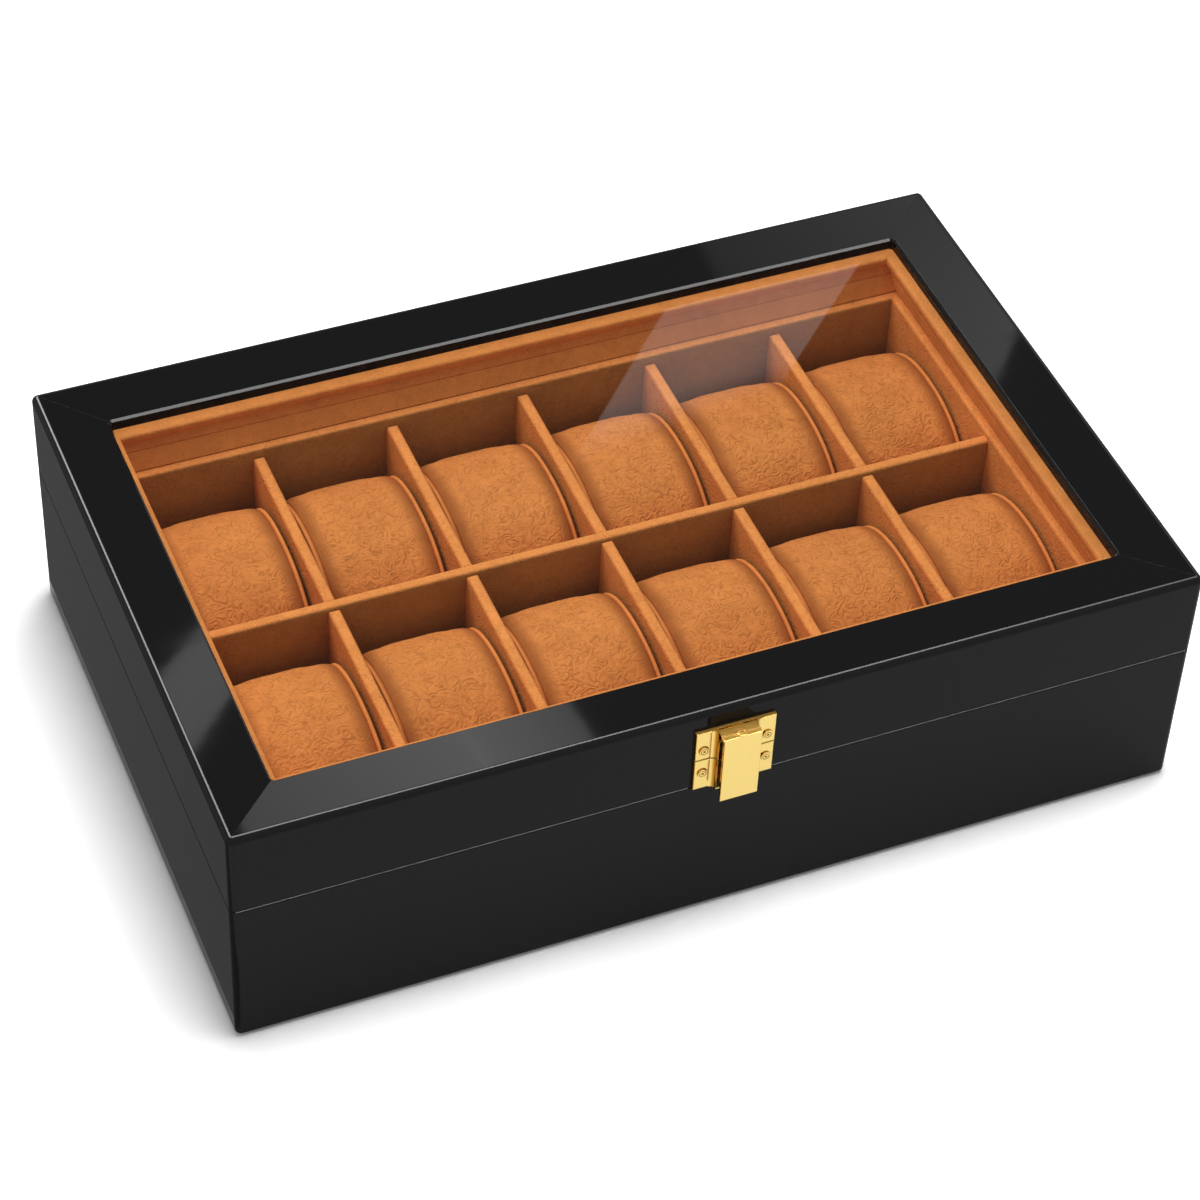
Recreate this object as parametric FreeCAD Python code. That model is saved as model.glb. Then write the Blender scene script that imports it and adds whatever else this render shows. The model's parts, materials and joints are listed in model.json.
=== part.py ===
import FreeCAD, Part
import math
import os

V = FreeCAD.Vector

# Closed box with a window lid: X is the width, Y the depth (front is -Y), Z is up
box_width = 330.0
box_depth = 213.0
seam_z = 59.3
lid_height = 32.7
box_height = seam_z + lid_height
felt_thickness = 1.0
felt_inset = 5.0
felt_half_x = box_width / 2 - felt_inset
felt_half_y = box_depth / 2 - felt_inset
corner_radius = 2.2
seam_ease = 0.6
foot_ease = 0.8
inner_ease = 0.5

# Reach of cutting tools past what they cut
cut_over = 2.0

# Wooden walls of base and lid
wall_thickness = 16.5
wall_inner_x = box_width / 2 - wall_thickness
wall_inner_y = box_depth / 2 - wall_thickness
board_thickness = 6.0
board_top_z = felt_thickness + board_thickness
board_rebate = 6.0
board_half_x = wall_inner_x + board_rebate
board_half_y = wall_inner_y + board_rebate

# Window in the lid and its glass
window_lip = 4.35
window_half_x = wall_inner_x - window_lip
window_half_y = wall_inner_y - window_lip
window_edge_fall = 1.3
window_edge_z = box_height - window_edge_fall
window_corner_radius = 1.5
window_chamfer = 0.7
chamfer_reach = 3.0
glass_set_down = 5.5
glass_thickness = 3.0
glass_top_z = box_height - glass_set_down
glass_bottom_z = glass_top_z - glass_thickness
glass_gap = 0.2

# Suede tray in the base: the liner stands above the seam inside the lid
liner_side_depth = 7.1
liner_front_depth = 14.0
tray_half_x = wall_inner_x - liner_side_depth
tray_half_y = wall_inner_y - liner_front_depth
liner_thickness = 4.0
stand_x = tray_half_x + liner_thickness
stand_y = tray_half_y + liner_thickness
liner_rise = 10.9
liner_rim_z = seam_z + liner_rise
liner_rim_radius = 1.2
floor_pad_thickness = 5.5
floor_top_z = board_top_z + floor_pad_thickness

# Dividers of the tray, one long and five across
divider_thickness = 4.0
cross_count = 5
cell_width = (2 * tray_half_x - cross_count * divider_thickness) / (cross_count + 1)
cell_depth = tray_half_y - divider_thickness / 2
divider_pitch = cell_width + divider_thickness
long_divider_drop = 2.2
long_divider_z = liner_rim_z - long_divider_drop
cross_divider_drop = 1.0
cross_divider_z = long_divider_z - cross_divider_drop
divider_radius = 1.2
half_lap_height = 27.5
half_lap_z = floor_top_z + half_lap_height

# Cushions, one in each cell, with an oval section along the width
pillow_side_gap = 1.0
pillow_end_gap = 3.0
pillow_floor_gap = 0.4
pillow_half_width = cell_width / 2 - pillow_side_gap
pillow_half_depth = cell_depth / 2 - pillow_end_gap
pillow_half_height = 25.4
pillow_center_y = divider_thickness / 2 + cell_depth / 2
pillow_center_z = floor_top_z + pillow_floor_gap + pillow_half_height
pillow_power = 2.15

# Sections of a cushion: distance from its end, and how far the oval is drawn in
pillow_sections = [
    (pillow_half_width, 0.0),
    (9.9, 0.3),
    (4.9, 1.3),
    (2.1, 3.0),
    (1.7, 2.0),
    (0.7, 1.9),
    (0.0, 3.6),
]

# Suede linings of the lid, an upper strip with a rolled nose and a lower strip
nose_side_depth = 7.4
nose_front_depth = 7.6
nose_x = wall_inner_x - nose_side_depth
nose_y = wall_inner_y - nose_front_depth
nose_radius = 1.25
roll_height = 2.9
nose_bottom_z = glass_bottom_z - roll_height
cove_set_back = 1.2
cove_drop = 0.5
upper_strip_height = 7.0
strip_seam_z = glass_bottom_z - upper_strip_height
seam_side_depth = 5.5
seam_front_depth = 8.2
strip_seam_x = wall_inner_x - seam_side_depth
strip_seam_y = wall_inner_y - seam_front_depth
strip_radius = 0.5
strip_rim_gap = 0.5
strip_foot_z = liner_rim_z + strip_rim_gap
foot_side_depth = 4.5
foot_front_depth = 11.2
strip_foot_x = wall_inner_x - foot_side_depth
strip_foot_y = wall_inner_y - foot_front_depth
skirt_side_gap = 0.7
skirt_front_gap = 1.0
skirt_x = stand_x + skirt_side_gap
skirt_y = stand_y + skirt_front_gap
skirt_seam_gap = 0.3
skirt_bottom_z = seam_z + skirt_seam_gap

# Screws in general: a conical point and a straight slot
screw_point_length = 1.2
screw_point_radius = 0.2
slot_width = 0.5
slot_depth = 0.4
slot_over = 1.0

# Butt hinges behind the back edge
hinge_inset = 70.0
hinge_center_x = box_width / 2 - hinge_inset
hinge_length = 40.0
hinge_axis_out = 2.5
hinge_axis_y = box_depth / 2 + hinge_axis_out
hinge_axis_z = seam_z
knuckle_radius = 2.2
knuckle_gap = 0.15
knuckle_half = 7.0
hinge_pin_radius = 1.0
hinge_pin_gap = 0.06
hinge_bore_radius = hinge_pin_radius + hinge_pin_gap
leaf_thickness = 1.1
leaf_gap = 0.1
leaf_recess = leaf_thickness + leaf_gap
leaf_depth = 12.0
leaf_front_y = box_depth / 2 - leaf_depth
leaf_back_y = box_depth / 2 - leaf_gap
leaf_recess_front_y = leaf_front_y - leaf_gap
leaf_web_overlap = 0.5
hinge_screw_inset = 5.3
hinge_screw_y = leaf_front_y + hinge_screw_inset
hinge_screw_pitch = 14.0
hinge_screw_head_radius = 2.0
hinge_screw_radius = 1.1
hinge_screw_cone = 0.9
hinge_screw_length = 10.0

# Latch plates on the lid front
front_y = -box_depth / 2
plate_half_width = 13.6
plate_thickness = 1.5
plate_edge_radius = 0.45
plate_seam_gap = 0.2
lower_plate_height = 12.8
plate_gap = 0.5
upper_plate_height = 11.8
lower_plate_bottom_z = seam_z + plate_seam_gap
lower_plate_top_z = lower_plate_bottom_z + lower_plate_height
upper_plate_bottom_z = lower_plate_top_z + plate_gap
upper_plate_top_z = upper_plate_bottom_z + upper_plate_height
boss_half_width = 6.55
boss_height = 1.9
boss_root = 0.6
plate_screw_inset = 2.8
plate_screw_x = plate_half_width - plate_screw_inset
plate_screw_low_drop = 5.5
plate_screw_high_rise = 4.0
plate_screw_low_z = lower_plate_top_z - plate_screw_low_drop
plate_screw_high_z = upper_plate_bottom_z + plate_screw_high_rise
plate_screw_head_radius = 1.7
plate_screw_head_height = 0.6
plate_screw_head_edge = 0.25
plate_screw_radius = 1.0
plate_screw_length = 9.5
groove_inner_radius = 0.95
groove_outer_radius = 1.2
groove_depth = 0.2
recess_radius = 0.42
recess_depth = 0.4

# Latch lever: a bent sheet on a pin at the top of the upper plate
lever_half_width = 6.5
lever_sheet = 1.0
lever_stand_off = 3.4
lever_front_out = plate_thickness + boss_height + lever_stand_off
lever_drop = 2.3
lever_bottom_z = seam_z - lever_drop
lever_bend_radius = 1.1
lever_inner_bend = 0.3
lever_tip_radius = 0.35
lever_knuckle_radius = 1.65
lever_knuckle_half = 4.2
lever_knuckle_gap = 0.15
lever_axis_out = plate_thickness + lever_knuckle_gap + lever_knuckle_radius
lever_axis_z = upper_plate_top_z - lever_knuckle_radius
lever_pin_radius = 0.6
lever_pin_gap = 0.06
lever_bore_radius = lever_pin_radius + lever_pin_gap
ear_radius = 1.3
ear_notch_gap = 0.25
ear_inner = lever_knuckle_half + lever_knuckle_gap
ear_outer = 6.3
ear_root = 0.5
lever_notch_out = lever_axis_out + ear_radius + ear_notch_gap
boss_cut_half = lever_knuckle_half + lever_knuckle_gap
boss_cut_gap = 0.3
boss_cut_bottom_z = lever_axis_z - lever_knuckle_radius - boss_cut_gap
sheet_overlap = 0.1
button_set_back = 1.85
button_out = lever_front_out - button_set_back
button_radius = 1.75
button_height = 0.45
button_edge = 0.2
button_shank_radius = 0.8
button_shank_length = 0.7

# Keeper on the base, let into the front rim, and the lever's nose in front of its lip
keeper_half_width = 5.0
keeper_depth = 9.0
keeper_thickness = 1.1
keeper_gap = 0.1
keeper_recess = keeper_thickness + keeper_gap
keeper_top_z = seam_z - keeper_recess + keeper_thickness
keeper_lip_half_width = 3.5
keeper_lip_out = 2.8
keeper_lip_root = 0.5
keeper_screw_inset = 5.2
keeper_screw_y = front_y + keeper_screw_inset
keeper_screw_head_radius = 1.6
keeper_screw_radius = 0.9
keeper_screw_cone = 0.7
keeper_screw_length = 9.0
nose_gap = 0.15
nose_tip_out = keeper_lip_out + nose_gap
nose_half_width = 3.2
nose_height = 0.9


def box(x0, x1, y0, y1, z0, z1):
    return Part.makeBox(x1 - x0, y1 - y0, z1 - z0, V(x0, y0, z0))


def cylinder(radius, length, start, direction):
    return Part.makeCylinder(radius, length, start, direction)


def rounded_edges(points):
    """Lines and arcs through (u, v, radius) corners."""
    count = len(points)
    starts = []
    mids = []
    ends = []
    for i in range(count):
        u, v, r = points[i]
        pu, pv, _ = points[i - 1]
        nu, nv, _ = points[(i + 1) % count]
        here = V(u, v, 0)
        to_prev = V(pu - u, pv - v, 0)
        to_next = V(nu - u, nv - v, 0)
        to_prev.normalize()
        to_next.normalize()
        if r <= 0:
            starts.append(here)
            mids.append(None)
            ends.append(here)
            continue
        angle = math.acos(max(-1.0, min(1.0, to_prev.dot(to_next))))
        reach = r / math.tan(angle / 2)
        bisector = to_prev + to_next
        bisector.normalize()
        center = here + bisector * (r / math.sin(angle / 2))
        starts.append(here + to_prev * reach)
        mids.append(center - bisector * r)
        ends.append(here + to_next * reach)
    edges = []
    for i in range(count):
        if mids[i] is not None:
            edges.append(Part.Arc(starts[i], mids[i], ends[i]).toShape())
        following = starts[(i + 1) % count]
        if (following - ends[i]).Length > 1e-6:
            edges.append(Part.makeLine(ends[i], following))
    return edges


def outline(points):
    return Part.Wire(rounded_edges(points))


def bar_along_y(points, half_length):
    """Profile in X and Z, drawn along Y."""
    face = Part.Face(outline(points))
    face.rotate(V(0, 0, 0), V(1, 0, 0), 90)
    face.translate(V(0, half_length, 0))
    return face.extrude(V(0, -2 * half_length, 0))


def bar_along_x(points, half_length):
    """Profile in Y and Z, drawn along X."""
    face = Part.Face(outline(points))
    face.rotate(V(0, 0, 0), V(1, 0, 0), 90)
    face.rotate(V(0, 0, 0), V(0, 0, 1), 90)
    face.translate(V(-half_length, 0, 0))
    return face.extrude(V(2 * half_length, 0, 0))


def prism(points, z0, z1):
    corners = [V(x, y, z0) for x, y in points]
    corners.append(corners[0])
    face = Part.Face(Part.makePolygon(corners))
    return face.extrude(V(0, 0, z1 - z0))


def mirror_x(shape):
    return shape.mirror(V(0, 0, 0), V(1, 0, 0))


def mirror_y(shape):
    return shape.mirror(V(0, 0, 0), V(0, 1, 0))


def rounded_block(z0, z1, top_radius, bottom_radius):
    """Outer block with round corners and eased top and bottom edges."""
    block = box(-box_width / 2, box_width / 2, -box_depth / 2, box_depth / 2, z0, z1)
    uprights = []
    for edge in block.Edges:
        first = edge.Vertexes[0].Point
        second = edge.Vertexes[1].Point
        if abs(first.z - second.z) > 1:
            uprights.append(edge)
    block = block.makeFillet(corner_radius, uprights)
    for z, radius in ((z1, top_radius), (z0, bottom_radius)):
        ring = []
        for edge in block.Edges:
            points = [vertex.Point for vertex in edge.Vertexes]
            if all(abs(point.z - z) < 1e-6 for point in points):
                ring.append(edge)
        block = block.makeFillet(radius, ring)
    return block


def mitre_front():
    """Plan of the front member, cut at 45 degrees from the outer corners."""
    a = box_width / 2 + cut_over
    b = box_depth / 2 + cut_over
    return prism([(-a, -b), (a, -b), (a - b, 0), (-a + b, 0)], -cut_over, box_height + cut_over)


def mitre_right():
    a = box_width / 2 + cut_over
    b = box_depth / 2 + cut_over
    return prism([(a, -b), (a, b), (a - b, 0)], -cut_over, box_height + cut_over)


def single(shape):
    """The shape as one clean solid."""
    if len(shape.Solids) == 1:
        return shape.Solids[0]
    biggest = max(shape.Solids, key=lambda solid: solid.Volume)
    return biggest


parts = {}


# Base walls, four mitred members with a rebate for the bottom board
def make_base_walls():
    block = rounded_block(felt_thickness, seam_z, seam_ease, foot_ease)
    out_x = box_width / 2 + cut_over
    out_y = box_depth / 2 + cut_over
    side = bar_along_y([
        (wall_inner_x, seam_z, inner_ease),
        (out_x, seam_z, 0),
        (out_x, felt_thickness, 0),
        (board_half_x, felt_thickness, 0),
        (board_half_x, board_top_z, 0),
        (wall_inner_x, board_top_z, 0),
    ], out_y)
    front = bar_along_x([
        (-wall_inner_y, seam_z, inner_ease),
        (-out_y, seam_z, 0),
        (-out_y, felt_thickness, 0),
        (-board_half_y, felt_thickness, 0),
        (-board_half_y, board_top_z, 0),
        (-wall_inner_y, board_top_z, 0),
    ], out_x)
    right = side.common(mitre_right()).common(block)
    front = front.common(mitre_front()).common(block)
    back = mirror_y(front)
    left = mirror_x(right)
    for center_x in (-hinge_center_x, hinge_center_x):
        half = hinge_length / 2 + leaf_gap
        back = back.cut(box(center_x - half, center_x + half, leaf_recess_front_y,
                            box_depth / 2 + cut_over, seam_z - leaf_recess, seam_z + cut_over))
        for x in hinge_screw_xs(center_x):
            start = V(x, hinge_screw_y, seam_z - leaf_gap - hinge_screw_length)
            back = back.cut(cylinder(hinge_screw_radius, hinge_screw_length + cut_over, start,
                                     V(0, 0, 1)))
    front = front.cut(box(-keeper_half_width - keeper_gap, keeper_half_width + keeper_gap,
                          front_y - cut_over, front_y + keeper_depth + keeper_gap,
                          seam_z - keeper_recess, seam_z + cut_over))
    start = V(0, keeper_screw_y, keeper_top_z - keeper_screw_length)
    front = front.cut(cylinder(keeper_screw_radius, keeper_screw_length + cut_over, start,
                               V(0, 0, 1)))
    parts["base_wall_front"] = single(front)
    parts["base_wall_back"] = single(back)
    parts["base_wall_left"] = single(left)
    parts["base_wall_right"] = single(right)


def hinge_screw_xs(center_x):
    return [center_x - hinge_screw_pitch, center_x, center_x + hinge_screw_pitch]


# Bottom board in the rebate and the felt sheet the box stands on
def make_bottom():
    parts["base_bottom_board"] = box(-board_half_x, board_half_x, -board_half_y, board_half_y,
                                     felt_thickness, board_top_z)
    parts["base_felt_sheet"] = box(-felt_half_x, felt_half_x, -felt_half_y, felt_half_y,
                                   0, felt_thickness)


# Tray liner, four boards with a rim that stands above the seam and a ledge at the seam
def make_liner():
    middle_x = tray_half_x - tray_half_y
    over_z = liner_rim_z + cut_over
    side = bar_along_y([
        (tray_half_x, liner_rim_z, liner_rim_radius),
        (stand_x, liner_rim_z, liner_rim_radius),
        (stand_x, seam_z, inner_ease),
        (wall_inner_x, seam_z, 0),
        (wall_inner_x, board_top_z, 0),
        (tray_half_x, board_top_z, 0),
    ], wall_inner_y)
    front = bar_along_x([
        (-tray_half_y, liner_rim_z, liner_rim_radius),
        (-stand_y, liner_rim_z, liner_rim_radius),
        (-stand_y, seam_z, inner_ease),
        (-wall_inner_y, seam_z, 0),
        (-wall_inner_y, board_top_z, 0),
        (-tray_half_y, board_top_z, 0),
    ], wall_inner_x)
    front_plan = prism([
        (-wall_inner_x, -wall_inner_y), (wall_inner_x, -wall_inner_y),
        (stand_x, -stand_y), (tray_half_x, -tray_half_y), (middle_x, 0), (-middle_x, 0),
        (-tray_half_x, -tray_half_y), (-stand_x, -stand_y),
    ], 0, over_z)
    right_plan = prism([
        (wall_inner_x, -wall_inner_y), (wall_inner_x, wall_inner_y),
        (stand_x, stand_y), (tray_half_x, tray_half_y), (middle_x, 0),
        (tray_half_x, -tray_half_y), (stand_x, -stand_y),
    ], 0, over_z)
    front = single(front.common(front_plan))
    right = single(side.common(right_plan))
    parts["tray_liner_front"] = front
    parts["tray_liner_back"] = mirror_y(front)
    parts["tray_liner_right"] = right
    parts["tray_liner_left"] = mirror_x(right)
    parts["tray_floor_pad"] = box(-tray_half_x, tray_half_x, -tray_half_y, tray_half_y,
                                  board_top_z, floor_top_z)


def divider_xs():
    middle = (cross_count - 1) / 2
    return [(i - middle) * divider_pitch for i in range(cross_count)]


# Dividers with half laps, the long one unbroken on top
def make_dividers():
    half = divider_thickness / 2
    long_bar = bar_along_x([
        (-half, long_divider_z, divider_radius),
        (half, long_divider_z, divider_radius),
        (half, floor_top_z, 0),
        (-half, floor_top_z, 0),
    ], tray_half_x)
    for x in divider_xs():
        long_bar = long_bar.cut(box(x - half, x + half, -half - cut_over, half + cut_over,
                                    floor_top_z - cut_over, half_lap_z))
    parts["tray_divider_long"] = single(long_bar)
    side_view = bar_along_x([
        (-tray_half_y, cross_divider_z, divider_radius),
        (-half, cross_divider_z, divider_radius),
        (-half, half_lap_z, 0),
        (half, half_lap_z, 0),
        (half, cross_divider_z, divider_radius),
        (tray_half_y, cross_divider_z, divider_radius),
        (tray_half_y, floor_top_z, 0),
        (-tray_half_y, floor_top_z, 0),
    ], half + cut_over)
    end_view = bar_along_y([
        (-half, cross_divider_z, divider_radius),
        (half, cross_divider_z, divider_radius),
        (half, floor_top_z, 0),
        (-half, floor_top_z, 0),
    ], tray_half_y)
    cross = single(side_view.common(end_view))
    for number, x in enumerate(divider_xs(), 1):
        piece = cross.copy()
        piece.translate(V(x, 0, 0))
        parts["tray_divider_cross_%d" % number] = piece


def oval_wire(x, inset):
    """Closed oval of eight arcs in the plane X = x."""
    a = pillow_half_depth - inset
    b = pillow_half_height - inset
    power = 2.0 / pillow_power
    points = []
    for step in range(16):
        t = math.radians(step * 22.5)
        c = math.cos(t)
        s = math.sin(t)
        y = a * math.copysign(abs(c) ** power, c)
        z = b * math.copysign(abs(s) ** power, s)
        points.append(V(x, y, z))
    edges = []
    for step in range(0, 16, 2):
        arc = Part.Arc(points[step], points[step + 1], points[(step + 2) % 16])
        edges.append(arc.toShape())
    return Part.Wire(edges)


# Twelve cushions: a crowned body, a seam drawn in near each end and a piped edge
def make_pillows():
    wires = []
    for from_end, inset in reversed(pillow_sections[1:]):
        wires.append(oval_wire(from_end - pillow_half_width, inset))
    for from_end, inset in pillow_sections:
        wires.append(oval_wire(pillow_half_width - from_end, inset))
    cushion = Part.makeLoft(wires, True, True)
    columns = [x - divider_pitch / 2 for x in divider_xs()]
    columns.append(divider_xs()[-1] + divider_pitch / 2)
    for row, sign in (("back", 1), ("front", -1)):
        for number, x in enumerate(columns, 1):
            piece = cushion.copy()
            piece.translate(V(x, sign * pillow_center_y, pillow_center_z))
            parts["pillow_%s_%d" % (row, number)] = single(piece)


# Lid frame, four mitred members with a top that falls slightly to the window
def make_lid_frame():
    block = rounded_block(seam_z, box_height, corner_radius, seam_ease)
    out = cut_over
    fall = (box_height - window_edge_z) / (box_width / 2 - corner_radius - window_half_x)
    rise = fall * (corner_radius + out)
    over = cut_over
    drop = fall * over

    def profile(outer, inner, window):
        return [
            (inner, seam_z, inner_ease),
            (outer + out, seam_z, 0),
            (outer + out, box_height + rise, 0),
            (window - over, window_edge_z - drop, 0),
            (window - over, glass_top_z, 0),
            (inner, glass_top_z, 0),
        ]

    side = bar_along_y(profile(box_width / 2, wall_inner_x, window_half_x), box_depth / 2 + out)
    front_points = []
    for y, z, r in profile(box_depth / 2, wall_inner_y, window_half_y):
        front_points.append((-y, z, r))
    front = bar_along_x(front_points, box_width / 2 + out)
    opening = window_tool(0, glass_top_z - out, box_height + out)
    low = window_edge_z - window_chamfer
    chamfer = Part.makeLoft([window_wire(0, low), window_wire(chamfer_reach, low + chamfer_reach)],
                            True, True)
    right = side.common(mitre_right()).common(block).cut(opening).cut(chamfer)
    front = front.common(mitre_front()).common(block).cut(opening).cut(chamfer)
    back = mirror_y(front)
    left = mirror_x(right)
    for center_x in (-hinge_center_x, hinge_center_x):
        half = hinge_length / 2 + leaf_gap
        back = back.cut(box(center_x - half, center_x + half, leaf_recess_front_y,
                            box_depth / 2 + out, seam_z - out, seam_z + leaf_recess))
        for x in hinge_screw_xs(center_x):
            start = V(x, hinge_screw_y, seam_z + leaf_gap + hinge_screw_length)
            back = back.cut(cylinder(hinge_screw_radius, hinge_screw_length + out, start,
                                     V(0, 0, -1)))
    for x, z in plate_screw_places():
        start = V(x, front_y - out, z)
        depth = plate_screw_length - plate_thickness + out
        front = front.cut(cylinder(plate_screw_radius, depth, start, V(0, 1, 0)))
    parts["lid_frame_front"] = single(front)
    parts["lid_frame_back"] = single(back)
    parts["lid_frame_left"] = single(left)
    parts["lid_frame_right"] = single(right)


def window_wire(grow, z):
    a = window_half_x + grow
    b = window_half_y + grow
    r = window_corner_radius + grow
    wire = outline([(-a, -b, r), (a, -b, r), (a, b, r), (-a, b, r)])
    wire.translate(V(0, 0, z))
    return wire


def window_tool(grow, z0, z1):
    return Part.Face(window_wire(grow, z0)).extrude(V(0, 0, z1 - z0))


def plate_screw_places():
    places = []
    for z in (plate_screw_low_z, plate_screw_high_z):
        for x in (-plate_screw_x, plate_screw_x):
            places.append((x, z))
    return places


# Glass pane under the frame
def make_glass():
    a = wall_inner_x - glass_gap
    b = wall_inner_y - glass_gap
    parts["lid_glass"] = box(-a, a, -b, b, glass_bottom_z, glass_top_z)


# Lid linings: side strips run through, front and back strips are scribed to them
def make_lid_lining():
    def upper(wall, nose, seam):
        return [
            (wall, glass_bottom_z, 0),
            (nose, glass_bottom_z, nose_radius),
            (nose, nose_bottom_z, nose_radius),
            (nose + cove_set_back, nose_bottom_z - cove_drop, strip_radius),
            (seam, strip_seam_z, strip_radius),
            (wall, strip_seam_z, 0),
        ]

    def lower(wall, seam, foot, skirt):
        return [
            (wall, strip_seam_z, 0),
            (seam, strip_seam_z, strip_radius),
            (foot, strip_foot_z, strip_radius),
            (skirt, strip_foot_z, 0),
            (skirt, skirt_bottom_z, strip_radius),
            (wall, skirt_bottom_z, 0),
        ]

    sets = {
        "upper": (upper(wall_inner_x, nose_x, strip_seam_x),
                  upper(wall_inner_y, nose_y, strip_seam_y)),
        "lower": (lower(wall_inner_x, strip_seam_x, strip_foot_x, skirt_x),
                  lower(wall_inner_y, strip_seam_y, strip_foot_y, skirt_y)),
    }
    for level, (side_points, front_points) in sets.items():
        right = bar_along_y(side_points, wall_inner_y)
        left = mirror_x(right)
        front = bar_along_x([(-y, z, r) for y, z, r in front_points], wall_inner_x)
        front = single(front.cut(right).cut(left))
        parts["lid_lining_%s_right" % level] = single(right)
        parts["lid_lining_%s_left" % level] = single(left)
        parts["lid_lining_%s_front" % level] = front
        parts["lid_lining_%s_back" % level] = mirror_y(front)


def countersunk_screw(head_radius, radius, cone, length, slot_along_x):
    """Screw with its flat head at Z = 0 and its point downward."""
    head = Part.makeCone(radius, head_radius, cone, V(0, 0, -cone), V(0, 0, 1))
    shank = cylinder(radius, length - cone - screw_point_length,
                     V(0, 0, -length + screw_point_length), V(0, 0, 1))
    point = Part.makeCone(screw_point_radius, radius, screw_point_length, V(0, 0, -length),
                          V(0, 0, 1))
    screw = head.fuse(shank).fuse(point)
    across = head_radius + slot_over
    if slot_along_x:
        slot = box(-across, across, -slot_width / 2, slot_width / 2, -slot_depth, slot_over)
    else:
        slot = box(-slot_width / 2, slot_width / 2, -across, across, -slot_depth, slot_over)
    return single(screw.cut(slot).removeSplitter())


# Hinges: two leaves with three knuckles on a pin
def make_hinges():
    def leaf(center_x, sign, spans):
        """sign is -1 for the base leaf and 1 for the lid leaf."""
        x0 = center_x - hinge_length / 2
        x1 = center_x + hinge_length / 2
        near = seam_z + sign * (leaf_recess - leaf_thickness)
        far = seam_z + sign * leaf_recess
        low = min(near, far)
        high = max(near, far)
        shape = box(x0, x1, leaf_front_y, leaf_back_y, low, high)
        for s0, s1 in spans:
            web = box(center_x + s0, center_x + s1, leaf_back_y - leaf_web_overlap, hinge_axis_y,
                      low, high)
            ring = cylinder(knuckle_radius, s1 - s0, V(center_x + s0, hinge_axis_y, hinge_axis_z),
                            V(1, 0, 0))
            shape = shape.fuse(web).fuse(ring)
        bore = hinge_pin_radius if sign < 0 else hinge_bore_radius
        shape = shape.cut(cylinder(bore, hinge_length + 2 * cut_over,
                                   V(x0 - cut_over, hinge_axis_y, hinge_axis_z), V(1, 0, 0)))
        for x in hinge_screw_xs(center_x):
            if sign < 0:
                cone = Part.makeCone(hinge_screw_radius, hinge_screw_head_radius, hinge_screw_cone,
                                     V(x, hinge_screw_y, near - hinge_screw_cone), V(0, 0, 1))
            else:
                cone = Part.makeCone(hinge_screw_head_radius, hinge_screw_radius, hinge_screw_cone,
                                     V(x, hinge_screw_y, near), V(0, 0, 1))
            hole = cylinder(hinge_screw_radius, 2 * cut_over,
                            V(x, hinge_screw_y, seam_z - cut_over), V(0, 0, 1))
            shape = shape.cut(cone).cut(hole)
        return single(shape.removeSplitter())

    outer = hinge_length / 2
    base_spans = [(-outer, -knuckle_half), (knuckle_half, outer)]
    lid_spans = [(-knuckle_half + knuckle_gap, knuckle_half - knuckle_gap)]
    base_screws = []
    lid_screws = []
    for side, center_x in (("left", -hinge_center_x), ("right", hinge_center_x)):
        parts["hinge_%s_base_leaf" % side] = leaf(center_x, -1, base_spans)
        parts["hinge_%s_lid_leaf" % side] = leaf(center_x, 1, lid_spans)
        parts["hinge_%s_pin" % side] = cylinder(
            hinge_pin_radius, hinge_length, V(center_x - outer, hinge_axis_y, hinge_axis_z),
            V(1, 0, 0))
        for number, x in enumerate(hinge_screw_xs(center_x)):
            screw = countersunk_screw(hinge_screw_head_radius, hinge_screw_radius,
                                      hinge_screw_cone, hinge_screw_length, number != 1)
            low = screw.copy()
            low.translate(V(x, hinge_screw_y, seam_z - leaf_recess + leaf_thickness))
            base_screws.append(low)
            high = screw.copy()
            high.rotate(V(0, 0, 0), V(1, 0, 0), 180)
            high.translate(V(x, hinge_screw_y, seam_z + leaf_recess - leaf_thickness))
            lid_screws.append(high)
    parts["hinge_screws_base"] = Part.makeCompound(base_screws)
    parts["hinge_screws_lid"] = Part.makeCompound(lid_screws)


def edge_rounded(shape, radius, test):
    edges = [edge for edge in shape.Edges if test(edge)]
    return shape.makeFillet(radius, edges)


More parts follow.
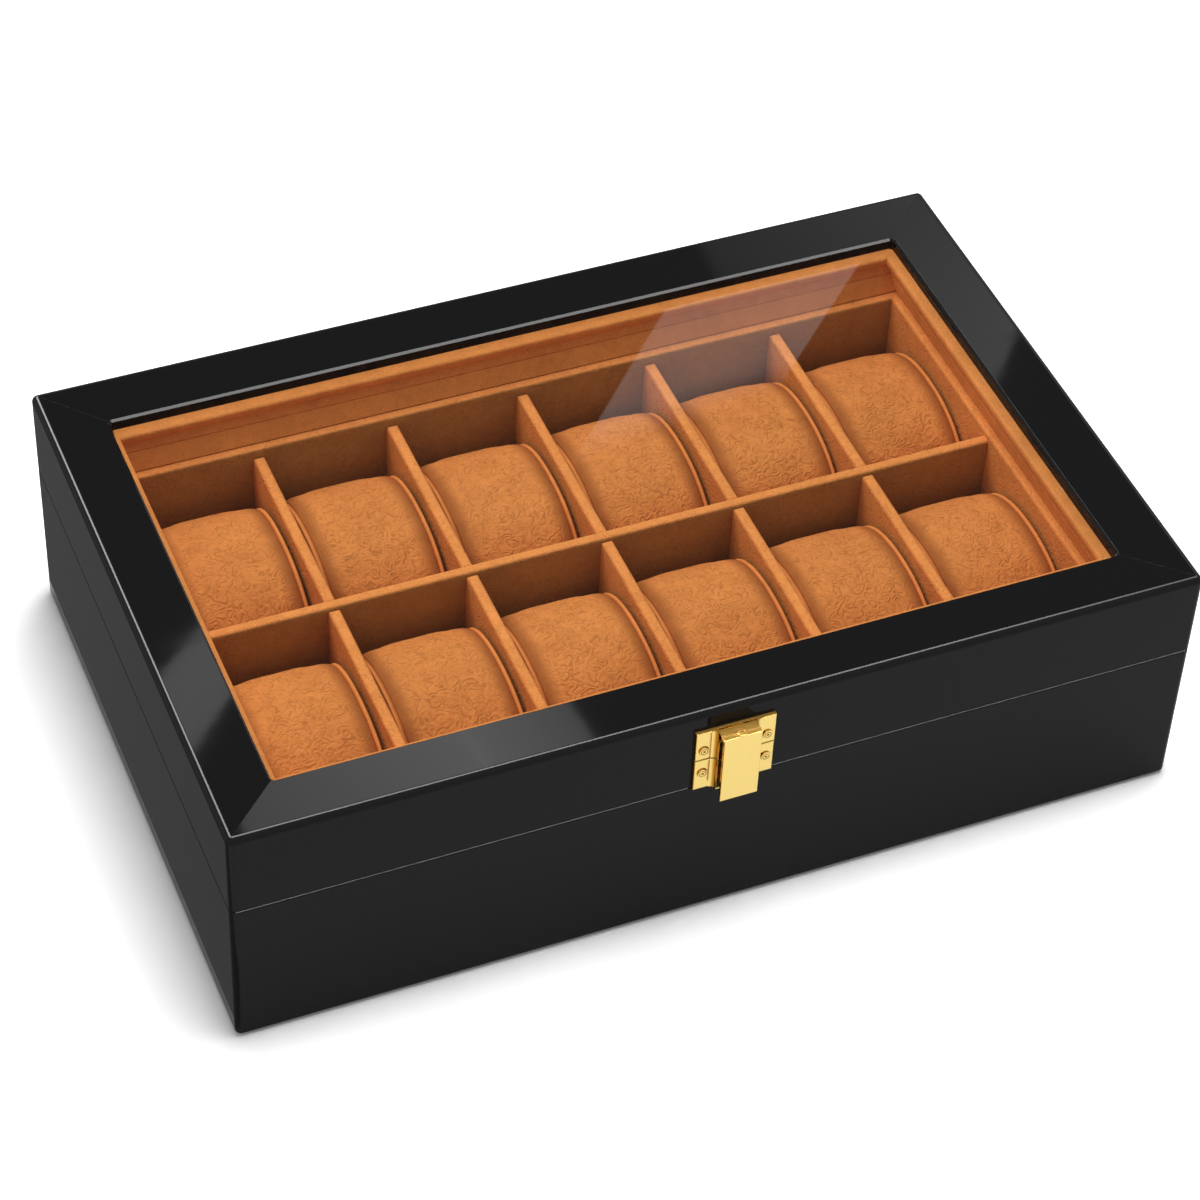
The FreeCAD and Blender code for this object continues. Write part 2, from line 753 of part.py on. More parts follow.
# Latch plates with a raised middle that flares out of the flat
def make_plates():
    def plate(z0, z1):
        flat = box(-plate_half_width, plate_half_width, front_y - plate_thickness, front_y, z0, z1)

        def on_front(edge):
            return all(abs(v.Point.y - (front_y - plate_thickness)) < 1e-6 for v in edge.Vertexes)

        flat = edge_rounded(flat, plate_edge_radius, on_front)
        face_y = front_y - plate_thickness
        top_y = face_y - boss_height
        a = boss_half_width
        r = boss_height
        k = r * (1 - math.sqrt(0.5))
        edges = [
            Part.makeLine(V(-a - r, face_y + boss_root, 0), V(-a - r, face_y, 0)),
            Part.Arc(V(-a - r, face_y, 0), V(-a - k, face_y - k, 0), V(-a, top_y, 0)).toShape(),
            Part.makeLine(V(-a, top_y, 0), V(a, top_y, 0)),
            Part.Arc(V(a, top_y, 0), V(a + k, face_y - k, 0), V(a + r, face_y, 0)).toShape(),
            Part.makeLine(V(a + r, face_y, 0), V(a + r, face_y + boss_root, 0)),
            Part.makeLine(V(a + r, face_y + boss_root, 0), V(-a - r, face_y + boss_root, 0)),
        ]
        boss = Part.Face(Part.Wire(edges)).extrude(V(0, 0, z1 - z0))
        boss.translate(V(0, 0, z0))
        shape = flat.fuse(boss)
        for x, z in plate_screw_places():
            if z0 < z < z1:
                shape = shape.cut(cylinder(plate_screw_radius, plate_thickness + 2 * cut_over,
                                           V(x, front_y + cut_over, z), V(0, -1, 0)))
        return shape.removeSplitter()

    lower = plate(lower_plate_bottom_z, lower_plate_top_z)
    upper = plate(upper_plate_bottom_z, upper_plate_top_z)
    face_y = front_y - plate_thickness
    upper = upper.cut(box(-boss_cut_half, boss_cut_half, face_y - boss_height - cut_over, face_y,
                          boss_cut_bottom_z, upper_plate_top_z + cut_over))
    axis_y = front_y - lever_axis_out
    for x0, x1 in ((-ear_outer, -ear_inner), (ear_inner, ear_outer)):
        ear = cylinder(ear_radius, x1 - x0, V(x0, axis_y, lever_axis_z), V(1, 0, 0))
        root = box(x0, x1, axis_y, face_y + ear_root, lever_axis_z - ear_radius,
                   lever_axis_z + ear_radius)
        upper = upper.fuse(ear).fuse(root)
    reach = plate_half_width + cut_over
    upper = upper.cut(cylinder(lever_pin_radius, 2 * reach, V(-reach, axis_y, lever_axis_z),
                               V(1, 0, 0)))
    parts["latch_plate_lower"] = single(lower)
    parts["latch_plate_upper"] = single(upper.removeSplitter())
    parts["latch_pin"] = cylinder(lever_pin_radius, 2 * ear_outer,
                                  V(-ear_outer, axis_y, lever_axis_z), V(1, 0, 0))


def ring_head(radius, height, edge):
    """Round head on the XY plane with a ring groove and a small recess."""
    profile = [
        (0, 0, 0),
        (radius, 0, 0),
        (radius, height, edge),
        (0, height, 0),
    ]
    wire = outline(profile)
    face = Part.Face(wire)
    face.rotate(V(0, 0, 0), V(1, 0, 0), 90)
    head = face.revolve(V(0, 0, 0), V(0, 0, 1), 360)
    head = Part.Solid(head) if head.ShapeType == "Shell" else head
    low = height - groove_depth
    groove = cylinder(groove_outer_radius, cut_over, V(0, 0, low), V(0, 0, 1))
    groove = groove.cut(cylinder(groove_inner_radius, cut_over, V(0, 0, low), V(0, 0, 1)))
    recess = cylinder(recess_radius, cut_over, V(0, 0, height - recess_depth), V(0, 0, 1))
    return head.cut(groove).cut(recess)


# Screws of the latch plates
def make_plate_screws():
    screws = []
    for x, z in plate_screw_places():
        head = ring_head(plate_screw_head_radius, plate_screw_head_height, plate_screw_head_edge)
        shank = cylinder(plate_screw_radius, plate_screw_length - screw_point_length,
                         V(0, 0, -plate_screw_length + screw_point_length), V(0, 0, 1))
        point = Part.makeCone(screw_point_radius, plate_screw_radius, screw_point_length,
                              V(0, 0, -plate_screw_length), V(0, 0, 1))
        screw = single(head.fuse(shank).fuse(point).removeSplitter())
        screw.rotate(V(0, 0, 0), V(1, 0, 0), 90)
        screw.translate(V(x, front_y - plate_thickness, z))
        screws.append(screw)
    parts["latch_plate_screws"] = Part.makeCompound(screws)


# Lever: top flange rolled round the pin, front sheet, short nose under the keeper
def make_lever():
    top = upper_plate_top_z
    out = lever_front_out
    under = top - lever_sheet
    inner = out - lever_sheet
    profile = [
        (front_y - lever_notch_out, top, 0),
        (front_y - out, top, lever_bend_radius),
        (front_y - out, lever_bottom_z, lever_tip_radius),
        (front_y - inner, lever_bottom_z, 0),
        (front_y - inner, under, lever_inner_bend),
        (front_y - lever_notch_out, under, 0),
    ]
    sheet = bar_along_x(profile, lever_half_width)
    axis_y = front_y - lever_axis_out
    bridge = box(-lever_knuckle_half, lever_knuckle_half,
                 front_y - lever_notch_out - sheet_overlap, axis_y, under, top)
    ring = cylinder(lever_knuckle_radius, 2 * lever_knuckle_half,
                    V(-lever_knuckle_half, axis_y, lever_axis_z), V(1, 0, 0))
    nose = box(-nose_half_width, nose_half_width, front_y - inner - sheet_overlap,
               front_y - nose_tip_out, lever_bottom_z, lever_bottom_z + nose_height)
    lever = sheet.fuse(bridge).fuse(ring).fuse(nose)
    reach = lever_half_width + cut_over
    lever = lever.cut(cylinder(lever_bore_radius, 2 * reach, V(-reach, axis_y, lever_axis_z),
                               V(1, 0, 0)))
    button_y = front_y - button_out
    lever = lever.cut(cylinder(button_shank_radius, button_shank_length + cut_over,
                               V(0, button_y, top - button_shank_length), V(0, 0, 1)))
    parts["latch_lever"] = single(lever.removeSplitter())
    head = ring_head(button_radius, button_height, button_edge)
    shank = cylinder(button_shank_radius, button_shank_length, V(0, 0, -button_shank_length),
                     V(0, 0, 1))
    button = single(head.fuse(shank).removeSplitter())
    button.translate(V(0, button_y, top))
    parts["latch_button"] = button


# Keeper plate and its screw in the base rim
def make_keeper():
    low = seam_z - keeper_recess
    plate = box(-keeper_half_width, keeper_half_width, front_y, front_y + keeper_depth,
                low, keeper_top_z)
    lip = box(-keeper_lip_half_width, keeper_lip_half_width, front_y - keeper_lip_out,
              front_y + keeper_lip_root, low, keeper_top_z)
    keeper = plate.fuse(lip)
    cone = Part.makeCone(keeper_screw_radius, keeper_screw_head_radius, keeper_screw_cone,
                         V(0, keeper_screw_y, keeper_top_z - keeper_screw_cone), V(0, 0, 1))
    hole = cylinder(keeper_screw_radius, keeper_thickness + 2 * cut_over,
                    V(0, keeper_screw_y, low - cut_over), V(0, 0, 1))
    parts["latch_keeper"] = single(keeper.cut(cone).cut(hole).removeSplitter())
    screw = countersunk_screw(keeper_screw_head_radius, keeper_screw_radius, keeper_screw_cone,
                              keeper_screw_length, True)
    screw.translate(V(0, keeper_screw_y, keeper_top_z))
    parts["latch_keeper_screw"] = screw


def main():
    make_base_walls()
    make_bottom()
    make_liner()
    make_dividers()
    make_pillows()
    make_lid_frame()
    make_glass()
    make_lid_lining()
    make_hinges()
    make_plates()
    make_plate_screws()
    make_lever()
    make_keeper()
    os.makedirs("parts", exist_ok=True)
    for name, shape in parts.items():
        shape.exportStep("parts/%s.step" % name)
        bounds = shape.BoundBox
        print(name, len(shape.Solids), shape.isValid(), round(shape.Volume, 1),
              [round(c, 2) for c in (bounds.XMin, bounds.XMax, bounds.YMin, bounds.YMax,
                                     bounds.ZMin, bounds.ZMax)])


main()
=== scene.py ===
"""Watch box with a glass-top lid: cushions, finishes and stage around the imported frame."""

import json
import math

import bpy
from bpy.props import FloatProperty, FloatVectorProperty, IntProperty, PointerProperty
from mathutils import Matrix, Vector, noise

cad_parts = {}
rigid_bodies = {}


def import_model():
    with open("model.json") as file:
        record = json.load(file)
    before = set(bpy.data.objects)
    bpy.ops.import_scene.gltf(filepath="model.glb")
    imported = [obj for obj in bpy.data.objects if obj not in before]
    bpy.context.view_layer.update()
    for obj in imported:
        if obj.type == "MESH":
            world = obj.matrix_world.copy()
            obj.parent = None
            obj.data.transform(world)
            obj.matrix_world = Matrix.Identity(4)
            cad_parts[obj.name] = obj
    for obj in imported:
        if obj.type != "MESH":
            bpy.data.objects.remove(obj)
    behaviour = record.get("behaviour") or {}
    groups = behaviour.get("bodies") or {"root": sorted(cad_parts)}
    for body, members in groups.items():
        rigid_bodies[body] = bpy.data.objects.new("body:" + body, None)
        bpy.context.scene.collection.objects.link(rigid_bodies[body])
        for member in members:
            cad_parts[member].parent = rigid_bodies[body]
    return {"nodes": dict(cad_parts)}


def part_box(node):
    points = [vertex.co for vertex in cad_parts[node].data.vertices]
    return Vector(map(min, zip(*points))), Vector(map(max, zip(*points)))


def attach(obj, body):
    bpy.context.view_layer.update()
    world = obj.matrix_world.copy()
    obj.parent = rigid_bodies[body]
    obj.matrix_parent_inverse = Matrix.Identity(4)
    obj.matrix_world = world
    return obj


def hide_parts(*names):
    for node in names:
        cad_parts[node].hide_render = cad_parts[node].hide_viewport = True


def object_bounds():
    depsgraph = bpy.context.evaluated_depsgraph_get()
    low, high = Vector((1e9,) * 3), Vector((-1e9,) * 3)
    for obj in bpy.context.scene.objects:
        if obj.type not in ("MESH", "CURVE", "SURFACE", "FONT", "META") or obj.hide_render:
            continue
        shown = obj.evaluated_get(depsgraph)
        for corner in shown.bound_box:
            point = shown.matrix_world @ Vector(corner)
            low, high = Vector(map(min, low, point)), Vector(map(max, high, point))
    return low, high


bl_info = {
    "name": "Watch box",
    "version": (1, 0, 0),
    "blender": (4, 5, 0),
    "location": "View3D > Sidebar > Watch box",
    "description": "Cushions, finishes and studio for a glass-topped watch box",
    "category": "Object",
}

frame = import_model()
CAD_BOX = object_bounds()
NODES = frame["nodes"]

MM = 0.001
SIDES = ("front", "back", "left", "right")
LACQUERED = ["base_wall_%s" % s for s in SIDES] + ["lid_frame_%s" % s for s in SIDES]
LINERS = ["tray_liner_%s" % s for s in SIDES]
DIVIDERS = ["tray_divider_long"] + ["tray_divider_cross_%d" % n for n in range(1, 6)]
UPPER_LININGS = ["lid_lining_upper_%s" % s for s in SIDES]
LOWER_LININGS = ["lid_lining_lower_%s" % s for s in SIDES]
LININGS = UPPER_LININGS + LOWER_LININGS
CUSHIONS = ["pillow_%s_%d" % (row, n) for row in ("back", "front") for n in range(1, 7)]
BRASS = [name for name in NODES if name.startswith(("hinge_", "latch_"))]


# Settings that a user would change
class SuedeSettings(bpy.types.PropertyGroup):
    colour: FloatVectorProperty(
        name="Colour", description="Suede in full light", subtype="COLOR",
        default=(0.82, 0.30, 0.080), min=0.0, max=1.0)
    shade: FloatVectorProperty(
        name="Shade", description="Suede where the nap lies the other way", subtype="COLOR",
        default=(0.62, 0.215, 0.054), min=0.0, max=1.0)
    crease_size: FloatProperty(
        name="Crease size", description="Distance between fine creases", subtype="DISTANCE",
        unit="LENGTH", default=0.00068, min=0.0002, max=0.02)
    crease_depth: FloatProperty(
        name="Crease depth", description="Depth of the fine creases", subtype="DISTANCE",
        unit="LENGTH", default=0.00013, min=0.0, max=0.002)


class LacquerSettings(bpy.types.PropertyGroup):
    colour: FloatVectorProperty(
        name="Colour", description="Lacquer colour", subtype="COLOR",
        default=(0.0105, 0.0105, 0.011), min=0.0, max=1.0)
    gloss: FloatProperty(
        name="Roughness", description="Roughness of the polished lacquer", subtype="FACTOR",
        default=0.035, min=0.0, max=1.0)


class BrassSettings(bpy.types.PropertyGroup):
    colour: FloatVectorProperty(
        name="Colour", description="Gold plating", subtype="COLOR",
        default=(1.0, 0.76, 0.27), min=0.0, max=1.0)
    gloss: FloatProperty(
        name="Roughness", description="Roughness of the plating", subtype="FACTOR",
        default=0.13, min=0.0, max=1.0)


class CushionSettings(bpy.types.PropertyGroup):
    segments: IntProperty(
        name="Segments", description="Points round one ring of a cushion", default=96,
        min=24, max=240)
    pressure: FloatProperty(
        name="Pressure", description="Pressure that fills a cushion", default=4.0,
        min=0.0, max=50.0)
    slack: FloatProperty(
        name="Slack", description="Spare cloth of the wrap", subtype="FACTOR", default=0.004,
        min=0.0, max=0.3)
    piping_radius: FloatProperty(
        name="Piping radius", description="Radius of the piped edge", subtype="DISTANCE",
        unit="LENGTH", default=0.00068, min=0.0002, max=0.003)


class StageSettings(bpy.types.PropertyGroup):
    floor_colour: FloatVectorProperty(
        name="Floor", description="Colour of the floor", subtype="COLOR",
        default=(0.93, 0.93, 0.93), min=0.0, max=1.0)
    floor_white: FloatProperty(
        name="Floor white", description="How far the open floor is lifted to white", default=2.0,
        min=0.5, max=4.0)
    floor_mirror: FloatProperty(
        name="Floor in mirrors", description="How far it is lifted in reflections", default=1.1,
        min=0.5, max=4.0)
    # Painted shadow: share of the floor's lift taken away at the foot of the box.
    foot_shadow: FloatProperty(
        name="Floor at the foot", description="How much of that lift is lost at the foot of the box",
        subtype="FACTOR", default=0.41, min=0.0, max=1.0)
    ambient: FloatProperty(
        name="Ambient", description="Strength of the light all round", default=0.45,
        min=0.0, max=5.0)
    key_power: FloatProperty(
        name="Key lamp", description="Power of the large lamp overhead", unit="POWER",
        default=19.0, min=0.0, max=500.0)
    tray_power: FloatProperty(
        name="Tray lamp", description="Power of the lamp that lights the tray", unit="POWER",
        default=18.0, min=0.0, max=500.0)
    ceiling: FloatProperty(
        name="Ceiling", description="Brightness of the dark ceiling in reflections",
        default=0.05, min=0.0, max=5.0)
    ring: FloatProperty(
        name="Ring", description="Brightness of the ring lamp in reflections", default=34.0,
        min=0.0, max=100.0)
    # Painted shade: the grey card stands in for the shadowed floor in reflections.
    flag: FloatProperty(
        name="Flag", description="Brightness of the grey card beside the box", default=0.13,
        min=0.0, max=5.0)


# Small tools for modelling
def clear_selection():
    for o in bpy.context.scene.objects:
        o.select_set(False)
    bpy.context.view_layer.objects.active = None


def only(o):
    clear_selection()
    o.select_set(True)
    bpy.context.view_layer.objects.active = o


def apply_modifier(o, modifier):
    only(o)
    bpy.ops.object.modifier_apply(modifier=modifier.name)


def new_piece(name, mesh):
    o = bpy.data.objects.new(name, mesh)
    bpy.context.scene.collection.objects.link(o)
    return o


def smooth(o):
    for polygon in o.data.polygons:
        polygon.use_smooth = True


def ease(t):
    t = max(0.0, min(1.0, t))
    return t * t * (3 - 2 * t)


# Node helpers
def set_sockets(n, values):
    for key, value in values.items():
        n.inputs[key].default_value = value


def add_node(tree, kind, values=None, **settings):
    n = tree.nodes.new(kind)
    for key, value in settings.items():
        setattr(n, key, value)
    set_sockets(n, values or {})
    return n


def wire(tree, source, target):
    tree.links.new(source, target)


def maths(tree, operation, a, b=None, c=None, clamp=False):
    """Math node fed by sockets or numbers; returns its output."""
    n = tree.nodes.new("ShaderNodeMath")
    n.operation = operation
    n.use_clamp = clamp
    for i, value in enumerate((a, b, c)):
        if value is None:
            continue
        if isinstance(value, (int, float)):
            n.inputs[i].default_value = value
        else:
            tree.links.new(value, n.inputs[i])
    return n.outputs[0]


def ramp(tree, value, low, high, to_low=0.0, to_high=1.0):
    """Smooth step of a socket from low to high."""
    n = tree.nodes.new("ShaderNodeMapRange")
    n.interpolation_type = "SMOOTHSTEP"
    n.inputs["From Min"].default_value = low
    n.inputs["From Max"].default_value = high
    n.inputs["To Min"].default_value = to_low
    n.inputs["To Max"].default_value = to_high
    tree.links.new(value, n.inputs["Value"])
    return n.outputs["Result"]


def blend_colour(tree, factor, a, b, mode="MIX"):
    n = tree.nodes.new("ShaderNodeMix")
    n.data_type = "RGBA"
    n.blend_type = mode
    for socket, value in ((n.inputs[0], factor), (n.inputs[6], a), (n.inputs[7], b)):
        if isinstance(value, (int, float)):
            socket.default_value = value
        elif isinstance(value, (tuple, list)):
            socket.default_value = tuple(value)[:3] + (1.0,)
        else:
            tree.links.new(value, socket)
    return n.outputs[2]


def noise_node(tree, vector, scale, detail=2.0, roughness=0.5, distortion=0.0):
    n = add_node(tree, "ShaderNodeTexNoise", {
        "Scale": scale, "Detail": detail, "Roughness": roughness, "Distortion": distortion})
    tree.links.new(vector, n.inputs["Vector"])
    return n


def new_group(name, inputs, outputs):
    """Shader node group with named float, colour or vector sockets."""
    group = bpy.data.node_groups.new(name, "ShaderNodeTree")
    for socket_name, kind, default in inputs:
        socket = group.interface.new_socket(name=socket_name, in_out="INPUT", socket_type=kind)
        if default is not None:
            socket.default_value = default
    for socket_name, kind in outputs:
        group.interface.new_socket(name=socket_name, in_out="OUTPUT", socket_type=kind)
    enter = group.nodes.new("NodeGroupInput")
    leave = group.nodes.new("NodeGroupOutput")
    return group, enter, leave


def use_group(tree, name, **values):
    n = tree.nodes.new("ShaderNodeGroup")
    n.node_tree = bpy.data.node_groups[name]
    for key, value in values.items():
        n.inputs[key.replace("_", " ")].default_value = value
    return n


# Shared effects
def make_crease_group():
    """Short curved creases: close contour lines of a soft noise, broken up by a finer one, with a
    painted shade for their valleys.
    """
    tree, enter, leave = new_group(
        "fine_creases",
        [("Vector", "NodeSocketVector", None), ("Size", "NodeSocketFloat", 0.0012),
         ("Cover", "NodeSocketFloat", 0.5)],
        [("Height", "NodeSocketFloat"), ("Line", "NodeSocketFloat")])
    scale = maths(tree, "DIVIDE", 1.0, enter.outputs["Size"])
    swirl = noise_node(tree, enter.outputs["Vector"], 1.0, 1.0, 0.45, 0.25)
    wire(tree, maths(tree, "MULTIPLY", scale, 0.150), swirl.inputs["Scale"])
    phase = maths(tree, "MULTIPLY", swirl.outputs[0], 2 * math.pi * 6.0)
    wave = maths(tree, "SINE", phase)
    second = noise_node(tree, enter.outputs["Vector"], 1.0, 1.0, 0.5, 0.4)
    wire(tree, maths(tree, "MULTIPLY", scale, 0.235), second.inputs["Scale"])
    other = maths(tree, "SINE", maths(tree, "MULTIPLY", second.outputs[0], 2 * math.pi * 4.0))
    breaks = noise_node(tree, enter.outputs["Vector"], 1.0, 1.0, 0.5)
    wire(tree, maths(tree, "MULTIPLY", scale, 0.36), breaks.inputs["Scale"])
    edge = maths(tree, "SUBTRACT", 1.0, enter.outputs["Cover"])
    gate = maths(tree, "MULTIPLY_ADD", maths(tree, "SUBTRACT", breaks.outputs[0], edge), 6.0,
                 0.5, clamp=True)
    rest = maths(tree, "SUBTRACT", 1.0, gate)
    patch = noise_node(tree, enter.outputs["Vector"], 1.0, 2.0, 0.6)
    wire(tree, maths(tree, "MULTIPLY", scale, 0.12), patch.inputs["Scale"])
    strength = ramp(tree, patch.outputs[0], 0.3, 0.6, 0.6, 1.0)
    height = maths(tree, "ADD", maths(tree, "MULTIPLY", wave, gate),
                   maths(tree, "MULTIPLY", maths(tree, "MULTIPLY", other, rest), 0.7))
    height = maths(tree, "MULTIPLY", height, strength)
    wire(tree, height, leave.inputs["Height"])
    # Painted shade: the second output darkens the colour in the crease valleys.
    low = maths(tree, "MAXIMUM", maths(tree, "MULTIPLY", height, -1.0), 0.0)
    wire(tree, maths(tree, "MULTIPLY", low, low), leave.inputs["Line"])


def make_nap_group():
    """Suede nap: mottled colour, fine grain and a painted highlight, a lighter tone on faces that
    look up.
    """
    tree, enter, leave = new_group(
        "suede_nap",
        [("Vector", "NodeSocketVector", None), ("Light", "NodeSocketColor", (0.6, 0.2, 0.06, 1)),
         ("Shade", "NodeSocketColor", (0.4, 0.14, 0.04, 1)), ("Upward", "NodeSocketFloat", 0.0),
         ("Rub", "NodeSocketFloat", 0.3)],
        [("Color", "NodeSocketColor"), ("Height", "NodeSocketFloat"),
         ("Roughness", "NodeSocketFloat")])
    vector = enter.outputs["Vector"]
    broad = noise_node(tree, vector, 34.0, 2.0, 0.55, 0.5)
    mid = noise_node(tree, vector, 170.0, 3.0, 0.6, 0.8)
    grain = noise_node(tree, vector, 1500.0, 2.0, 0.65)
    fuzz = noise_node(tree, vector, 4200.0, 1.0, 0.5)
    mix = maths(tree, "MULTIPLY_ADD", maths(tree, "SUBTRACT", broad.outputs[0], 0.5), 1.1, 0.55)
    mix = maths(tree, "MULTIPLY_ADD", maths(tree, "SUBTRACT", mid.outputs[0], 0.5), 1.3, mix)
    mix = maths(tree, "MULTIPLY_ADD", maths(tree, "SUBTRACT", grain.outputs[0], 0.5), 0.9, mix,
                clamp=True)
    colour = blend_colour(tree, mix, enter.outputs["Shade"], enter.outputs["Light"])
    # Painted highlight: faces that look up are lifted to a lighter tone.
    top_light_mask = maths(tree, "MULTIPLY", enter.outputs["Upward"], enter.outputs["Rub"], clamp=True)
    bright = blend_colour(tree, 1.0, colour, (1.28, 1.34, 1.42), "MULTIPLY")
    colour = blend_colour(tree, top_light_mask, colour, bright)
    wire(tree, colour, leave.inputs["Color"])
    height = maths(tree, "MULTIPLY_ADD", fuzz.outputs[0], 0.45, grain.outputs[0])
    wire(tree, height, leave.inputs["Height"])
    wire(tree, ramp(tree, mix, 0.0, 1.0, 0.95, 0.82), leave.inputs["Roughness"])


def make_dust_group():
    """Sparse dust specks and faint smears for polished faces."""
    tree, enter, leave = new_group(
        "dust_and_smears",
        [("Vector", "NodeSocketVector", None), ("Amount", "NodeSocketFloat", 0.5)],
        [("Dust", "NodeSocketFloat"), ("Smear", "NodeSocketFloat"), ("Peel", "NodeSocketFloat")])
    vector = enter.outputs["Vector"]
    specks = add_node(tree, "ShaderNodeTexVoronoi", {"Scale": 420.0, "Randomness": 1.0})
    wire(tree, vector, specks.inputs["Vector"])
    where = noise_node(tree, vector, 60.0, 2.0)
    dots = ramp(tree, specks.outputs["Distance"], 0.03, 0.09, 1.0, 0.0)
    sparse = ramp(tree, where.outputs[0], 0.62, 0.74)
    dust = maths(tree, "MULTIPLY", maths(tree, "MULTIPLY", dots, sparse),
                 enter.outputs["Amount"])
    wire(tree, dust, leave.inputs["Dust"])
    stretched = add_node(tree, "ShaderNodeMapping", {"Scale": (1.0, 3.5, 2.0)})
    wire(tree, vector, stretched.inputs["Vector"])
    smear = noise_node(tree, stretched.outputs[0], 14.0, 3.0, 0.6, 0.8)
    wire(tree, maths(tree, "MULTIPLY", ramp(tree, smear.outputs[0], 0.5, 0.8),
                     enter.outputs["Amount"]), leave.inputs["Smear"])
    peel = noise_node(tree, vector, 130.0, 1.0)
    wire(tree, peel.outputs[0], leave.inputs["Peel"])


# Finishes
def new_material(name):
    material = bpy.data.materials.new(name)
    material.use_nodes = True
    tree = material.node_tree
    tree.nodes.clear()
    out = tree.nodes.new("ShaderNodeOutputMaterial")
    shader = tree.nodes.new("ShaderNodeBsdfPrincipled")
    wire(tree, shader.outputs[0], out.inputs["Surface"])
    place = tree.nodes.new("ShaderNodeTexCoord")
    return material, tree, shader, place


def bump(tree, shader, layers, normal=None):
    """Chains bump layers of (height socket, distance, strength) into the shader's normal."""
    for height, distance, strength in layers:
        n = add_node(tree, "ShaderNodeBump", {"Strength": strength, "Distance": distance})
        wire(tree, height, n.inputs["Height"])
        if normal is not None:
            wire(tree, normal, n.inputs["Normal"])
        normal = n.outputs["Normal"]
    wire(tree, normal, shader.inputs["Normal"])


# Painted shade and highlight at the ends of a cushion: shade where the cloth falls to the seam,
# shade in the seam groove, a highlight on the piping and shade on the end face in the gap.
# Start, end and peak in millimetres from its middle, and the tone there
PAINTED_END_BANDS = [
    (12.5, 19.2, 18.1, (0.55, 0.50, 0.50)),
    (18.3, 19.0, 18.65, (0.50, 0.42, 0.40)),
    (18.9, 20.3, 19.5, (1.10, 1.10, 1.10)),
    (19.9, None, 20.7, (0.34, 0.28, 0.28)),
]


def make_suede(name, crease, cover, painted_top_light, masked, tint=(1, 1, 1), front=None):
    """Suede for one group of pieces. Faces that look up get a painted highlight, set by the fourth
    argument. Front is a painted shade: the tint of faces that look to the front, darker than the
    rest; masked takes the creases and the painted shade and highlight at the seams of a cushion."""
    settings = bpy.context.scene.watch_box_suede
    material, tree, shader, place = new_material(name)
    light = tuple(c * t for c, t in zip(settings.colour, tint)) + (1.0,)
    shade = tuple(c * t for c, t in zip(settings.shade, tint)) + (1.0,)
    vector = place.outputs["Object"]
    facing = add_node(tree, "ShaderNodeSeparateXYZ")
    wire(tree, place.outputs["Normal"], facing.inputs[0])
    # Mask of faces that look up, for the painted highlight of the nap group.
    upward = ramp(tree, facing.outputs[2], 0.45, 0.95)
    nap = use_group(tree, "suede_nap", Light=light, Shade=shade, Rub=painted_top_light)
    wire(tree, vector, nap.inputs["Vector"])
    wire(tree, upward, nap.inputs["Upward"])
    creases = use_group(tree, "fine_creases", Size=settings.crease_size, Cover=cover)
    wire(tree, vector, creases.inputs["Vector"])
    height = creases.outputs["Height"]
    valley_shade = creases.outputs["Line"]
    if masked:
        worn = add_node(tree, "ShaderNodeAttribute", attribute_name="crease")
        height = maths(tree, "MULTIPLY", height, worn.outputs["Fac"])
        valley_shade = maths(tree, "MULTIPLY", valley_shade, worn.outputs["Fac"])
    # Painted shade: the crease valleys are darkened towards a deep brown.
    colour = blend_colour(tree, maths(tree, "MULTIPLY", valley_shade, 0.45 * crease), nap.outputs["Color"],
                          (0.28, 0.075, 0.016))
    if front is not None:
        # Painted shade: faces that look to the front are darkened by the front tint.
        away = ramp(tree, facing.outputs[1], -0.95, -0.5, 1.0, 0.0)
        colour = blend_colour(tree, away, colour, blend_colour(tree, 1.0, colour, front,
                                                               "MULTIPLY"))
    if masked:
        # Painted shade and highlight at the cushion ends, band by band.
        end = add_node(tree, "ShaderNodeAttribute", attribute_name="to_end").outputs["Fac"]
        for low, high, peak, tone in PAINTED_END_BANDS:
            band = ramp(tree, end, low, peak)
            if high is not None:
                band = maths(tree, "MULTIPLY", band, ramp(tree, end, peak, high, 1.0, 0.0))
            colour = blend_colour(tree, band, colour, blend_colour(tree, 1.0, colour, tone,
                                                                   "MULTIPLY"))
    wire(tree, colour, shader.inputs["Base Color"])
    wire(tree, nap.outputs["Roughness"], shader.inputs["Roughness"])
    set_sockets(shader, {"Specular IOR Level": 0.0, "Sheen Weight": 0.02, "Sheen Roughness": 0.5,
                         "Sheen Tint": (1.0, 0.6, 0.3, 1.0)})
    bump(tree, shader, [
        (height, settings.crease_depth * crease, 0.9),
        (nap.outputs["Height"], 0.00006, 0.6),
    ])
    return material


def make_lacquer():
    settings = bpy.context.scene.watch_box_lacquer
    material, tree, shader, place = new_material("black_lacquer")
    film = use_group(tree, "dust_and_smears", Amount=0.35)
    wire(tree, place.outputs["Object"], film.inputs["Vector"])
    colour = blend_colour(tree, maths(tree, "MULTIPLY", film.outputs["Dust"], 0.05),
                          tuple(settings.colour), (0.25, 0.25, 0.25))
    wire(tree, colour, shader.inputs["Base Color"])
    rough = maths(tree, "MULTIPLY_ADD", film.outputs["Smear"], 0.05, settings.gloss)
    wire(tree, rough, shader.inputs["Roughness"])
    set_sockets(shader, {"IOR": 1.18})
    eased = add_node(tree, "ShaderNodeBevel", {"Radius": 0.00012}, samples=4)
    bump(tree, shader, [(film.outputs["Peel"], 0.00002, 0.12)], eased.outputs[0])
    return material


